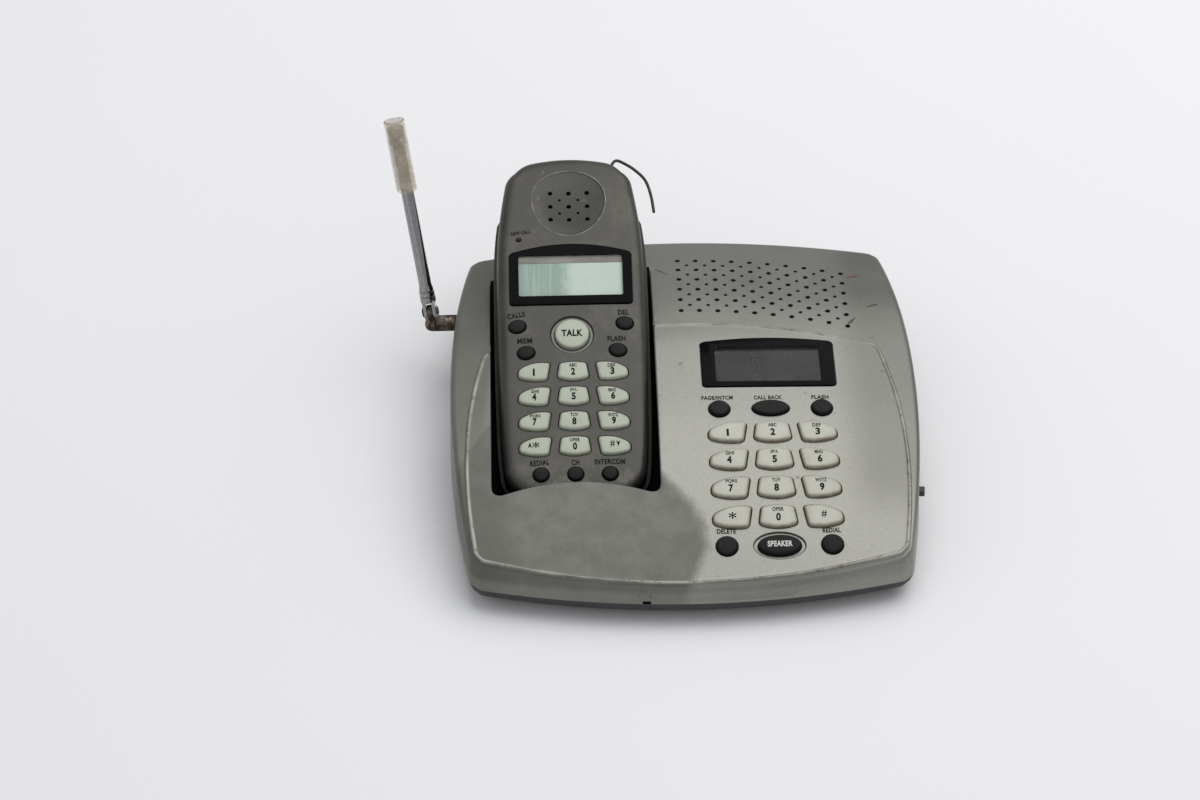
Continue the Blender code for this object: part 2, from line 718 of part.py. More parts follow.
class Telephone:
    def __init__(self, parts, tools):
        self.parts, self.tools = parts, tools
        self.root = empty("telephone", Matrix.Translation(-CENTRE), None, parts)
        tilt = Matrix.Rotation(HANDSET_TILT, 4, "X")
        rest = Matrix.Translation((POCKET_X, 0, 0)) @ tilt @ Matrix.Translation((0, 0, FACE_OFFSET))
        self.handset = empty("handset", rest, self.root, parts)
        self.rest = rest
        lean = Matrix.Rotation(-ANTENNA_LEAN_OUT, 4, "Y") @ Matrix.Rotation(-ANTENNA_LEAN_BACK, 4, "X")
        self.antenna = empty("antenna", Matrix.Translation(PIVOT) @ lean, self.root, parts)
        self.finishes()

    def finishes(self):
        self.silver = material("silver_plastic", (0.50, 0.49, 0.46), 0.42, 0.35)
        self.gunmetal = material("gunmetal_plastic", (0.27, 0.26, 0.24), 0.42, 0.35)
        self.charcoal = material("charcoal_plastic", (0.035, 0.035, 0.037), 0.5)
        self.key_beige = material("key_beige", (0.60, 0.58, 0.48), 0.45)
        self.key_white = material("key_white", (0.66, 0.70, 0.58), 0.4)
        self.rubber = material("button_rubber", (0.04, 0.037, 0.036), 0.6)
        self.gloss = material("window_gloss", (0.008, 0.008, 0.009), 0.12)
        self.base_screen = material("base_screen", (0.07, 0.075, 0.06), 0.35)
        self.handset_screen = material("handset_screen", (0.50, 0.62, 0.58), 0.3)
        self.board_green = material("board_green", (0.03, 0.14, 0.06), 0.5)
        self.speaker_black = material("speaker_black", (0.02, 0.02, 0.02), 0.7)
        self.chrome = material("chrome", (0.62, 0.62, 0.62), 0.14, 1.0)
        self.rust = material("rusty_steel", (0.20, 0.12, 0.07), 0.65, 0.6)
        self.sleeve_plastic = material("sleeve_plastic", (0.62, 0.53, 0.36), 0.35, 0.0, 0.7)
        self.wire_black = material("wire_black", (0.02, 0.02, 0.02), 0.5)
        self.cell_wrap = material("cell_wrap", (0.10, 0.22, 0.45), 0.4)

    def add(self, obj, parent=None):
        return attach(obj, parent or self.root)

    def tool(self, obj, parent=None):
        return self.add(helper(obj), parent)

    def base_buttons(self):
        """Every base button: name, outline, place, rise and finish."""
        buttons = []
        names = ("1", "2", "3", "4", "5", "6", "7", "8", "9", "star", "0", "hash")
        for index, name in enumerate(names):
            row, column = divmod(index, 3)
            x = KEYPAD_X + (column - 1) * KEY_PITCH_X
            y = KEYPAD_Y + (1.5 - row) * KEY_PITCH_Y
            shape = key_outline(column, KEY_WIDTH, KEY_DEPTH)
            buttons.append((f"base_key_{name}", shape, x, y, KEY_RISE, self.key_beige))
        small = oval(ROUND_BUTTON_RADIUS, ROUND_BUTTON_RADIUS, 10)
        for name, side, y in (
            ("base_page_button", -1, UPPER_ROW_Y),
            ("base_flash_button", 1, UPPER_ROW_Y),
            ("base_delete_button", -1, LOWER_ROW_Y),
            ("base_redial_button", 1, LOWER_ROW_Y),
        ):
            x = KEYPAD_X + side * ROUND_BUTTON_PITCH
            buttons.append((name, small, x, y, KEY_RISE, self.rubber))
        for name, half, y in (
            ("base_call_back_button", CALL_BACK_HALF, UPPER_ROW_Y),
            ("base_speaker_button", SPEAKER_HALF, LOWER_ROW_Y),
        ):
            buttons.append((name, oval(*half, 14), KEYPAD_X, y, KEY_RISE, self.rubber))
        return buttons

    def handset_buttons(self):
        """Every handset button, as base_buttons gives them, in the handset's frame."""
        rise = HANDSET_KEY_RISE
        buttons = []
        names = ("1", "2", "3", "4", "5", "6", "7", "8", "9", "star", "0", "hash")
        for index, name in enumerate(names):
            row, column = divmod(index, 3)
            x = (column - 1) * HANDSET_PITCH_X
            y = HANDSET_KEYPAD_Y + (1.5 - row) * HANDSET_PITCH_Y
            shape = key_outline(column, HANDSET_KEY_WIDTH, HANDSET_KEY_DEPTH)
            buttons.append((f"handset_key_{name}", shape, x, y, rise, self.key_white))
        for name, x, y, turn in UPPER_BUTTONS:
            shape = oval(*SMALL_BUTTON_HALF, 10, turn)
            buttons.append((name, shape, x, y, rise, self.rubber))
        lower = oval(BOTTOM_BUTTON_RADIUS, BOTTOM_BUTTON_RADIUS, 10)
        for k, name in enumerate(("redial", "channel", "intercom")):
            x = (k - 1) * BOTTOM_ROW_PITCH
            buttons.append((f"handset_{name}_button", lower, x, BOTTOM_ROW_Y, rise, self.rubber))
        talk = oval(TALK_RADIUS, TALK_RADIUS, 14)
        buttons.append(("handset_talk_button", talk, 0.0, TALK_Y, rise, self.key_white))
        return buttons

    def make_button(self, name, shape, frame, rise, wall, finish, parent):
        """A cap with a flared foot under the shell's wall. Its origin is on the shell's face."""
        seat = -wall - FLANGE_CLEARANCE
        wide = grown(shape, KEY_FLANGE)
        rings = [
            level(wide, seat - FLANGE_THICKNESS),
            level(shape, seat),
            level(shape, rise * 0.6),
            level(grown(shape, -KEY_BEVEL), rise),
        ]
        obj = lofted(name, rings, finish, self.parts, frame)
        smooth(obj)
        return self.add(obj, parent)

    def base_top_shell(self):
        def middle(u, v):
            return shoulder_point(u, v, 1)

        rings = [
            lambda u, v: shoulder_point(u, v, 0.5),
            lambda u, v: shoulder_point(u, v, 0),
            lambda u, v: wall_point(u, v, 0) + Vector((0, 0, RIM_BAND)),
            lambda u, v: wall_point(u, v, 0),
        ]
        bm = surface_mesh(BASE_ACROSS, BASE_ALONG, middle, rings)
        shell = new_object("base_top_shell", bm, self.silver, self.parts)
        solidify(shell, BASE_WALL)
        smooth(shell)
        under_deck = self.under_deck_form()
        boolean(shell, "UNION", self.panel())
        tub = self.pocket_solid("pocket_tub", POCKET_WALL, POCKET_WALL)
        boolean(tub, "INTERSECT", under_deck)
        boolean(shell, "UNION", tub)
        posts = self.shell_posts()
        boolean(posts, "INTERSECT", under_deck)
        boolean(shell, "UNION", posts)
        boolean(shell, "DIFFERENCE", self.pocket_solid("pocket_space", 0, 0))
        boolean(shell, "DIFFERENCE", self.base_recesses())
        boolean(shell, "DIFFERENCE", self.base_holes())
        boolean(shell, "DIFFERENCE", self.grille_holes())
        boolean(shell, "DIFFERENCE", self.wall_openings())
        return self.add(shell)

    def under_deck_form(self):
        """The space under the deck's skin, to trim what is joined to the skin from below."""
        sink = BASE_WALL / 3

        def middle(u, v):
            return edge_point(u, v, UNDER_DECK_INSET, sink)

        def skirt(u, v):
            x, y = EDGE.place(u, v, UNDER_DECK_INSET)
            return Vector((x, y, 0))

        bm = close_below(surface_mesh(BASE_ACROSS, BASE_ALONG, middle, [skirt]))
        return self.tool(new_object("under_deck", bm, None, self.tools))

    def panel(self):
        """The raised panel, as a slab that sinks into the deck's skin."""
        plan = Plan(
            EDGE_FRONT + PANEL_MARGIN,
            PANEL_REAR,
            PANEL_HALF_WIDTH,
            FRONT_BOW,
            PANEL_REAR_BOW,
            PANEL_SIDE_BOW,
            PANEL_CORNER,
        )
        plan.taper = PANEL_TAPER
        bevel = PANEL_RAISE / 2
        sink = BASE_WALL / 2

        def at(u, v, inset, rise):
            x, y = plan.place(u, v, inset)
            return Vector((x, y, deck_height(x, y) + rise))

        rings = [
            lambda u, v: at(u, v, 0, PANEL_RAISE - bevel),
            lambda u, v: at(u, v, 0, -sink),
        ]
        bm = surface_mesh(BASE_ACROSS, PANEL_ALONG, lambda u, v: at(u, v, bevel, PANEL_RAISE), rings)
        lower = surface_mesh(BASE_ACROSS, PANEL_ALONG, lambda u, v: at(u, v, 0, -sink), [], downwards=True)
        joined = bpy.data.meshes.new("panel_underside")
        lower.to_mesh(joined)
        lower.free()
        bm.from_mesh(joined)
        bpy.data.meshes.remove(joined)
        bmesh.ops.remove_doubles(bm, verts=bm.verts, dist=0.01 * MM)
        return self.tool(new_object("panel", bm, None, self.tools))

    def pocket_outline(self, margin):
        left, right = POCKET_X - POCKET_HALF_WIDTH, POCKET_X + POCKET_HALF_WIDTH
        corners = (
            (left, POCKET_FRONT),
            (right, POCKET_FRONT),
            (right, POCKET_REAR),
            (left, POCKET_REAR),
        )
        setbacks = (POCKET_CORNER, POCKET_CORNER, MM, MM)
        points = outline(corners, (-POCKET_TAB, 0, 0, 0), setbacks, side_steps=6, corner_steps=3)
        return grown(points, margin) if margin else points

    def pocket_solid(self, name, margin, below):
        points = self.pocket_outline(margin)
        low = [Vector((x, y, pocket_floor(y) - below / math.cos(POCKET_TILT))) for x, y in points]
        high = level(points, pocket_floor(POCKET_REAR) + ABOVE_POCKET)
        return self.tool(lofted(name, [low, high], None, self.tools))

    def board_frame(self):
        """Frame of the circuit board's top: parallel to the keypad's part of the deck."""
        front = Vector((KEYPAD_X, BOARD_FRONT, deck_height(KEYPAD_X, BOARD_FRONT)))
        rear = Vector((KEYPAD_X, BOARD_REAR, deck_height(KEYPAD_X, BOARD_REAR)))
        slope = math.atan2(rear.z - front.z, rear.y - front.y)
        below = Matrix.Rotation(slope, 4, "X") @ Matrix.Translation((0, 0, -BOARD_DEPTH))
        return Matrix.Translation((front + rear) / 2) @ below

    def board_half_depth(self):
        front = deck_height(KEYPAD_X, BOARD_FRONT)
        rear = deck_height(KEYPAD_X, BOARD_REAR)
        return math.hypot(BOARD_REAR - BOARD_FRONT, rear - front) / 2

    def speaker_frame(self):
        x = GRILLE_X + GRILLE_PITCH_X * (GRILLE_COLUMNS - 1) / 2
        y = GRILLE_Y - GRILLE_PITCH_Y * (GRILLE_ROWS - 1) / 2 - GRILLE_BOW * x * x
        return surface_frame(deck_height, x, y) @ Matrix.Translation((0, 0, -LOUDSPEAKER_SEAT))

    def shell_posts(self):
        """Posts under the deck: four for the circuit board and four for the loudspeaker."""
        bm = bmesh.new()
        board = self.board_frame()
        for x in (-1, 1):
            for y in (-1, 1):
                place = (
                    x * (BOARD_HALF_WIDTH - BOARD_MARGIN),
                    y * (self.board_half_depth() - BOARD_MARGIN),
                    FIT + POST_LENGTH / 2,
                )
                add_cylinder(bm, POST_RADIUS, POST_LENGTH, board @ Matrix.Translation(place), 6)
        speaker = self.speaker_frame()
        for x in (-3, 3):
            for y in (-1, 1):
                place = (x * GRILLE_PITCH_X, y * GRILLE_PITCH_Y, FIT + POST_LENGTH / 2)
                add_cylinder(bm, POST_RADIUS, POST_LENGTH, speaker @ Matrix.Translation(place), 6)
        return self.tool(new_object("shell_posts", bm, None, self.tools))

    def base_window_frame(self):
        return surface_frame(panel_height, BASE_WINDOW_X, BASE_WINDOW_Y)

    def base_recesses(self):
        bm = bmesh.new()
        shape = window_outline(*BASE_WINDOW_HALF, BASE_WINDOW_ARCH, WINDOW_CORNER)
        self.cut(bm, grown(shape, FIT), self.base_window_frame(), WINDOW_PROUD - WINDOW_THICKNESS - FIT)
        ring = oval(SPEAKER_HALF[0] + SPEAKER_RECESS, SPEAKER_HALF[1] + SPEAKER_RECESS, 16)
        frame = surface_frame(panel_height, KEYPAD_X, LOWER_ROW_Y)
        self.cut(bm, ring, frame, -SPEAKER_RECESS_DEPTH, grown(ring, SPEAKER_RECESS_SLOPE))
        return self.tool(new_object("base_recesses", bm, None, self.tools))

    def cut(self, bm, shape, frame, low, upper=None):
        """Adds a closed cutter from low to well above the surface."""
        rings = prism_rings(shape, low, CUT_HEIGHT)
        if upper:
            rings = [level(shape, low), level(upper, 0), level(upper, CUT_HEIGHT)]
        loft(bm, [[frame @ point for point in ring] for ring in rings])

    def base_holes(self):
        bm = bmesh.new()
        for name, shape, x, y, rise, finish in self.base_buttons():
            self.cut(bm, grown(shape, FIT), surface_frame(panel_height, x, y), -HOLE_DEPTH)
        opening = window_outline(*BASE_SCREEN_HALF, 0, SCREEN_CORNER, side_steps=1)
        self.cut(bm, opening, self.base_window_frame(), -HOLE_DEPTH)
        return self.tool(new_object("base_holes", bm, None, self.tools))

    def grille_places(self):
        """Places of the grille's holes: large ones in rows, and small ones in the gaps between four."""
        places = []
        for row in range(GRILLE_ROWS):
            for column in range(GRILLE_COLUMNS):
                places.append((column, row, GRILLE_HOLE, 6))
                if row < GRILLE_ROWS - 1 and column < GRILLE_COLUMNS - 1:
                    places.append((column + 0.5, row + 0.5, GRILLE_SMALL_HOLE, 4))
        return places

    def grille_holes(self):
        bm = bmesh.new()
        for column, row, radius, sides in self.grille_places():
            x = GRILLE_X + column * GRILLE_PITCH_X
            y = GRILLE_Y - row * GRILLE_PITCH_Y - GRILLE_BOW * x * x
            centre = Vector((x, y, deck_height(x, y)))
            add_cylinder(bm, radius, 3 * BASE_WALL, Matrix.Translation(centre), sides)
        return self.tool(new_object("grille_holes", bm, None, self.tools))

    def wall_openings(self):
        bm = bmesh.new()
        wide, deep, high = NOTCH_SIZE
        add_box(bm, (wide, deep, 2 * high), (NOTCH_X, RIM_FRONT, RIM_HEIGHT))
        slider = side_frame(1, SLIDER_Y, SLIDER_Z)
        long = SLIDER_KNOB[0] + 2 * SLIDER_TRAVEL + 2 * FIT
        add_box(bm, (8 * BASE_WALL, long, SLIDER_KNOB[1] + 2 * FIT), (0, 0, 0), slider)
        stub = Matrix.Translation((STUB_OUTER, STUB_Y, STUB_Z)) @ Matrix.Rotation(math.pi / 2, 4, "Y")
        add_cylinder(bm, STUB_RADIUS + FIT, 2 * (STUB_INNER - STUB_OUTER), stub, 16)
        width, depth, height = JACK_SIZE
        size = (width + 2 * FIT, 2 * (JACK_INSET + depth / 2), height + 2 * FIT)
        add_box(bm, size, (JACK_X, RIM_REAR, JACK_BASE + height / 2))
        return self.tool(new_object("wall_openings", bm, None, self.tools))

    def base_bottom_shell(self):
        """A tray under the rim, with the floor that the feet and the jacks stand on."""

        def ring(inset, height):
            def at(u, v):
                x, y = RIM.place(u, v, inset)
                return Vector((x, y, height))

            return at

        rim = RIM_HEIGHT - FIT
        rings = [
            ring(BOTTOM_TUCK * 0.45, UNDERSIDE + BOTTOM_TUCK * 0.35),
            ring(FIT, rim - RIM_BAND),
            ring(FIT, rim),
        ]
        bm = surface_mesh(
            BASE_ACROSS, TRAY_ALONG, ring(BOTTOM_TUCK, UNDERSIDE), rings, True, True
        )
        shell = new_object("base_bottom_shell", bm, self.charcoal, self.parts)
        solidify(shell, BOTTOM_WALL)
        smooth(shell)
        supports = bmesh.new()
        floor = UNDERSIDE + BOTTOM_WALL / 2
        top = JACK_BASE - FIT
        size = (JACK_SIZE[0] - 2 * PLINTH_MARGIN, PLINTH_DEPTH, top - floor)
        add_box(supports, size, (JACK_X, self.jack_y() - PLINTH_FORWARD, (top + floor) / 2))
        boolean(shell, "UNION", self.tool(new_object("jack_plinth", supports, None, self.tools)))
        return self.add(shell)

    def jack_y(self):
        share = JACK_X / RIM_HALF_WIDTH
        return RIM_REAR - REAR_BOW * share * share - JACK_SIZE[1] / 2 - JACK_BEHIND

    def jack_block(self):
        """The telephone-line jack and the power inlet in one block, open to the rear."""
        depth = JACK_SIZE[1]
        placed = Matrix.Translation((JACK_X, self.jack_y(), JACK_BASE + JACK_SIZE[2] / 2))
        bm = bmesh.new()
        add_box(bm, JACK_SIZE, (0, 0, 0))
        obj = new_object("jack_block", bm, self.charcoal, self.parts)
        obj.matrix_world = placed
        self.add(obj)
        wide, deep, high = LINE_SOCKET
        back = Matrix.Rotation(math.pi / 2, 4, "X")
        line = bmesh.new()
        place = (-SOCKET_SPACING, (depth - deep + SOCKET_REACH) / 2, 0)
        add_box(line, (wide, deep + SOCKET_REACH, high), place)
        power = bmesh.new()
        bored = Matrix.Translation((SOCKET_SPACING, (depth - POWER_DEPTH + SOCKET_REACH) / 2, 0))
        add_cylinder(power, POWER_RADIUS, POWER_DEPTH + SOCKET_REACH, bored @ back, 12)
        pin = bmesh.new()
        set_back = Matrix.Translation((SOCKET_SPACING, (depth - POWER_DEPTH) / 2 - SOCKET_REACH, 0))
        add_cylinder(pin, POWER_PIN_RADIUS, POWER_DEPTH, set_back @ back, 8)
        for name, bm, operation in (
            ("line_socket", line, "DIFFERENCE"),
            ("power_socket", power, "DIFFERENCE"),
            ("power_pin", pin, "UNION"),
        ):
            tool = new_object(name, bm, None, self.tools)
            tool.matrix_world = placed
            boolean(obj, operation, self.tool(tool))

    def feet(self):
        for name, side in (("front_foot_strip", -1), ("rear_foot_strip", 1)):
            bm = bmesh.new()
            add_box(bm, (FOOT_LENGTH, FOOT_WIDTH, FOOT_HEIGHT), (0, 0, 0))
            obj = new_object(name, bm, self.rubber, self.parts)
            obj.matrix_world = Matrix.Translation((0, side * FOOT_Y, FOOT_HEIGHT / 2))
            self.add(obj)

    def base_display(self):
        frame = self.base_window_frame()
        shape = window_outline(*BASE_WINDOW_HALF, BASE_WINDOW_ARCH, WINDOW_CORNER)
        self.window("base_display_window", shape, frame, None)
        wall = BASE_WALL + PANEL_RAISE
        self.screen("base_display_panel", BASE_SCREEN_HALF, frame, wall, self.base_screen, None)

    def window(self, name, shape, frame, parent):
        low = WINDOW_PROUD - WINDOW_THICKNESS
        rings = [
            level(shape, low),
            level(shape, WINDOW_PROUD - WINDOW_EDGE),
            level(grown(shape, -WINDOW_EDGE), WINDOW_PROUD),
        ]
        obj = lofted(name, rings, self.gloss, self.parts, frame)
        self.add(obj, parent)

    def screen(self, name, half, frame, wall, finish, parent):
        bm = bmesh.new()
        size = (2 * (half[0] + SCREEN_BORDER), 2 * (half[1] + SCREEN_BORDER), SCREEN_THICKNESS)
        add_box(bm, size, (0, 0, -wall - 2 * FIT - SCREEN_THICKNESS / 2))
        obj = new_object(name, bm, finish, self.parts)
        obj.matrix_world = frame
        self.add(obj, parent)

    def circuit_board(self):
        bm = bmesh.new()
        size = (2 * BOARD_HALF_WIDTH, 2 * self.board_half_depth(), BOARD_THICKNESS)
        add_box(bm, size, (0, 0, -BOARD_THICKNESS / 2))
        obj = new_object("base_circuit_board", bm, self.board_green, self.parts)
        obj.matrix_world = self.board_frame()
        self.add(obj)

    def revolved(self, name, profile, finish, frame, parent, steps=16):
        """A turned solid: its profile runs from the axis down the outer side and back to the axis."""
        mesh = bpy.data.meshes.new(name)
        edges = [(k, k + 1) for k in range(len(profile) - 1)]
        mesh.from_pydata([(radius, 0, height) for radius, height in profile], edges, [])
        mesh.materials.append(finish)
        obj = bpy.data.objects.new(name, mesh)
        self.parts.objects.link(obj)
        obj.matrix_world = frame
        turned = obj.modifiers.new("turn", "SCREW")
        turned.steps = turned.render_steps = steps
        turned.use_merge_vertices = True
        turned.merge_threshold = 0.01 * MM
        turned.use_smooth_shade = False
        return self.add(obj, parent)

    def loudspeaker(self):
        radius, depth = LOUDSPEAKER_RADIUS, LOUDSPEAKER_DEPTH
        profile = [
            (0, -3.0 * MM),
            (radius * 0.25, -4.2 * MM),
            (radius * 0.36, -6.0 * MM),
            (radius * 0.70, -1.6 * MM),
            (radius * 0.76, 0),
            (radius, 0),
            (radius, -1.8 * MM),
            (radius * 0.9, -2.4 * MM),
            (radius * 0.55, -depth * 0.6),
            (radius * 0.72, -depth * 0.62),
            (radius * 0.72, -depth),
            (0, -depth),
        ]
        self.revolved("loudspeaker", profile, self.speaker_black, self.speaker_frame(), None, 16)

    def volume_slider(self):
        frame = side_frame(1, SLIDER_Y, SLIDER_Z)
        bm = bmesh.new()
        plate_length, plate_height, plate_thickness = SLIDER_PLATE
        inner = -BASE_WALL - 2 * FIT
        knob_length, knob_height = SLIDER_KNOB
        start = inner - plate_thickness / 2
        reach = SLIDER_PROUD - start
        add_box(bm, (reach, knob_length, knob_height), ((SLIDER_PROUD + start) / 2, 0, 0))
        knob = new_object("volume_slider", bm, self.charcoal, self.parts)
        knob.matrix_world = frame
        self.add(knob)
        bm = bmesh.new()
        add_box(bm, (plate_thickness, plate_length, plate_height), (inner - plate_thickness / 2, 0, 0))
        plate = new_object("slider_plate", bm, None, self.tools)
        plate.matrix_world = frame
        boolean(knob, "UNION", self.tool(plate))

    def antenna_elbow(self):
        """The stub through the wall, a ball bend, and a tongue with the rivet that the fork turns on."""
        bm = bmesh.new()
        length = STUB_INNER - STUB_OUTER
        middle = Vector(((STUB_INNER + STUB_OUTER) / 2, STUB_Y, STUB_Z))
        sideways = Matrix.Rotation(math.pi / 2, 4, "Y")
        add_cylinder(bm, STUB_RADIUS, length, Matrix.Translation(middle) @ sideways, 16)
        elbow = new_object("antenna_elbow", bm, self.rust, self.parts)
        self.add(elbow)
        smooth(elbow)
        ball = bmesh.new()
        place = Matrix.Translation((STUB_OUTER, STUB_Y, STUB_Z))
        bmesh.ops.create_uvsphere(ball, u_segments=10, v_segments=6, radius=BALL_RADIUS, matrix=place)
        boolean(elbow, "UNION", self.tool(new_object("elbow_ball", ball, None, self.tools)))
        lean = Matrix.Rotation(-ANTENNA_LEAN_OUT, 4, "Y")
        pivot = Matrix.Translation(PIVOT) @ lean
        tongue = bmesh.new()
        down = (PIVOT - Vector((STUB_OUTER, STUB_Y, STUB_Z))).length
        add_box(tongue, (TONGUE_THICKNESS, 2 * EYE_RADIUS, down), (0, 0, -down / 2), pivot)
        boolean(elbow, "UNION", self.tool(new_object("tongue", tongue, None, self.tools)))
        eye = bmesh.new()
        add_cylinder(eye, EYE_RADIUS * 0.999, TONGUE_THICKNESS * 0.98, pivot @ sideways, 16)
        boolean(elbow, "UNION", self.tool(new_object("tongue_eye", eye, None, self.tools)))
        rivet = bmesh.new()
        outside = TONGUE_THICKNESS / 2 + FIT + CHEEK_THICKNESS + FIT + RIVET_HEAD
        across = pivot @ sideways
        add_cylinder(rivet, RIVET_RADIUS, 2 * outside - RIVET_HEAD, across, 10)
        boolean(elbow, "UNION", self.tool(new_object("rivet", rivet, None, self.tools)))
        heads = bmesh.new()
        for side in (-1, 1):
            place = across @ Matrix.Translation((0, 0, side * (outside - RIVET_HEAD / 2)))
            add_cylinder(heads, RIVET_HEAD_RADIUS, RIVET_HEAD, place, 10)
        boolean(elbow, "UNION", self.tool(new_object("rivet_heads", heads, None, self.tools)))

    def antenna_tubes(self):
        profile = [
            (0, MIDDLE_START - FIT),
            (TUBE_BORE, MIDDLE_START - FIT),
            (TUBE_BORE, TUBE_END),
            (TUBE_RADIUS, TUBE_END),
            (TUBE_RADIUS, TUBE_START + 0.4 * MM),
            (FERRULE_RADIUS, TUBE_START),
            (FERRULE_RADIUS, TUBE_START - 1.6 * MM),
            (FERRULE_RADIUS - 0.4 * MM, TUBE_START - 1.9 * MM),
            (FERRULE_RADIUS, TUBE_START - 2.2 * MM),
            (FERRULE_RADIUS, FERRULE_START),
            (0, FERRULE_START),
        ]
        outer = self.revolved("antenna_outer_tube", profile, self.chrome, Matrix(), self.antenna, 12)
        cheeks = bmesh.new()
        offset = TONGUE_THICKNESS / 2 + FIT + CHEEK_THICKNESS / 2
        turn = Matrix.Rotation(math.pi / 2, 4, "Y")
        for side in (-1, 1):
            shift = Matrix.Translation((side * offset, 0, 0))
            rings = [
                [shift @ turn @ point for point in level(self.cheek_outline(), height)]
                for height in (-CHEEK_THICKNESS / 2, CHEEK_THICKNESS / 2)
            ]
            loft(cheeks, rings)
        cheek_tool = self.tool(new_object("fork_cheeks", cheeks, None, self.tools), self.antenna)
        hole = bmesh.new()
        add_cylinder(hole, RIVET_RADIUS + FIT, 4 * offset, turn, 10)
        hole_tool = self.tool(new_object("rivet_hole", hole, None, self.tools), self.antenna)
        boolean(cheek_tool, "DIFFERENCE", hole_tool)
        boolean(outer, "UNION", cheek_tool)
        profile = [
            (0, MIDDLE_START + 1.5 * MM),
            (MIDDLE_BORE, MIDDLE_START + 1.5 * MM),
            (MIDDLE_BORE, TUBE_END + FIT),
            (MIDDLE_RADIUS, TUBE_END + FIT),
            (MIDDLE_RADIUS, MIDDLE_START),
            (0, MIDDLE_START),
        ]
        self.revolved("antenna_middle_tube", profile, self.chrome, Matrix(), self.antenna, 12)
        cap_start = TUBE_END + 2 * FIT
        profile = [
            (0, CAP_END),
            (CAP_RADIUS - 0.8 * MM, CAP_END),
            (CAP_RADIUS, CAP_END - 0.8 * MM),
            (CAP_RADIUS, cap_start),
            (ROD_RADIUS, cap_start),
            (ROD_RADIUS, ROD_START),
            (0, ROD_START),
        ]
        self.revolved("antenna_tip_rod", profile, self.chrome, Matrix(), self.antenna, 12)
        profile = [
            (SLEEVE_BORE, SLEEVE_START),
            (SLEEVE_BORE, SLEEVE_END),
            (SLEEVE_RADIUS, SLEEVE_END),
            (SLEEVE_RADIUS, SLEEVE_START),
            (SLEEVE_BORE, SLEEVE_START),
        ]
        self.revolved("antenna_sleeve", profile, self.sleeve_plastic, Matrix(), self.antenna, 12)

    def cheek_outline(self):
        """A cheek in its own plane: X runs down the antenna, so the round end is at +X."""
        points = []
        for k in range(7):
            angle = -math.pi / 2 + math.pi * k / 6
            points.append((EYE_RADIUS * math.cos(angle), EYE_RADIUS * math.sin(angle)))
        end = -FERRULE_START - 1.0 * MM
        return points + [(end, EYE_RADIUS * 0.9), (end, -EYE_RADIUS * 0.9)]

    def handset_front_shell(self):
        plan = HandsetPlan()

        def at(u, v, inset, drop=0.0):
            x, y = plan.place(u, v, inset)
            return Vector((x, y, face_height(x, y) - drop))

        def parting(u, v):
            x, y = plan.place(u, v, 0)
            return Vector((x, y, HANDSET_PARTING))

        rings = [
            lambda u, v: at(u, v, FACE_ROUND * 0.48, FACE_ROUND_DROP * 0.1),
            lambda u, v: at(u, v, FACE_ROUND * 0.14, FACE_ROUND_DROP * 0.42),
            lambda u, v: at(u, v, 0, FACE_ROUND_DROP),
            parting,
        ]
        bm = surface_mesh(HANDSET_ACROSS, HANDSET_ALONG, lambda u, v: at(u, v, FACE_ROUND), rings)
        shell = new_object("handset_front_shell", bm, self.gunmetal, self.parts)
        solidify(shell, HANDSET_WALL)
        smooth(shell)
        self.add(shell, self.handset)
        boolean(shell, "DIFFERENCE", self.handset_recesses())
        boolean(shell, "DIFFERENCE", self.handset_holes())

    def handset_window_frame(self):
        return surface_frame(face_height, 0, HANDSET_WINDOW_Y)

    def handset_recesses(self):
        bm = bmesh.new()
        shape = window_outline(*HANDSET_WINDOW_HALF, HANDSET_WINDOW_ARCH, WINDOW_CORNER)
        self.cut(bm, grown(shape, FIT), self.handset_window_frame(), WINDOW_PROUD - WINDOW_THICKNESS - FIT)
        inner = TALK_RADIUS + TALK_RECESS - TALK_RECESS_SLOPE
        ring = oval(inner, inner, 20)
        frame = surface_frame(face_height, 0, TALK_Y)
        self.cut(bm, ring, frame, -TALK_RECESS_DEPTH, grown(ring, TALK_RECESS_SLOPE))
        dish = self.earpiece_outline()
        frame = surface_frame(face_height, 0, EARPIECE_Y)
        self.cut(bm, grown(dish, -EARPIECE_SLOPE), frame, -EARPIECE_DEPTH, dish)
        return self.tool(new_object("handset_recesses", bm, None, self.tools), self.handset)

    def earpiece_outline(self):
        """An egg, wider towards the head."""
        points = []
        for x, y in oval(1, 1, 20):
            width = EARPIECE_HALF[0] * (1 + 0.10 * y)
            points.append((x * width, y * EARPIECE_HALF[1]))
        return points

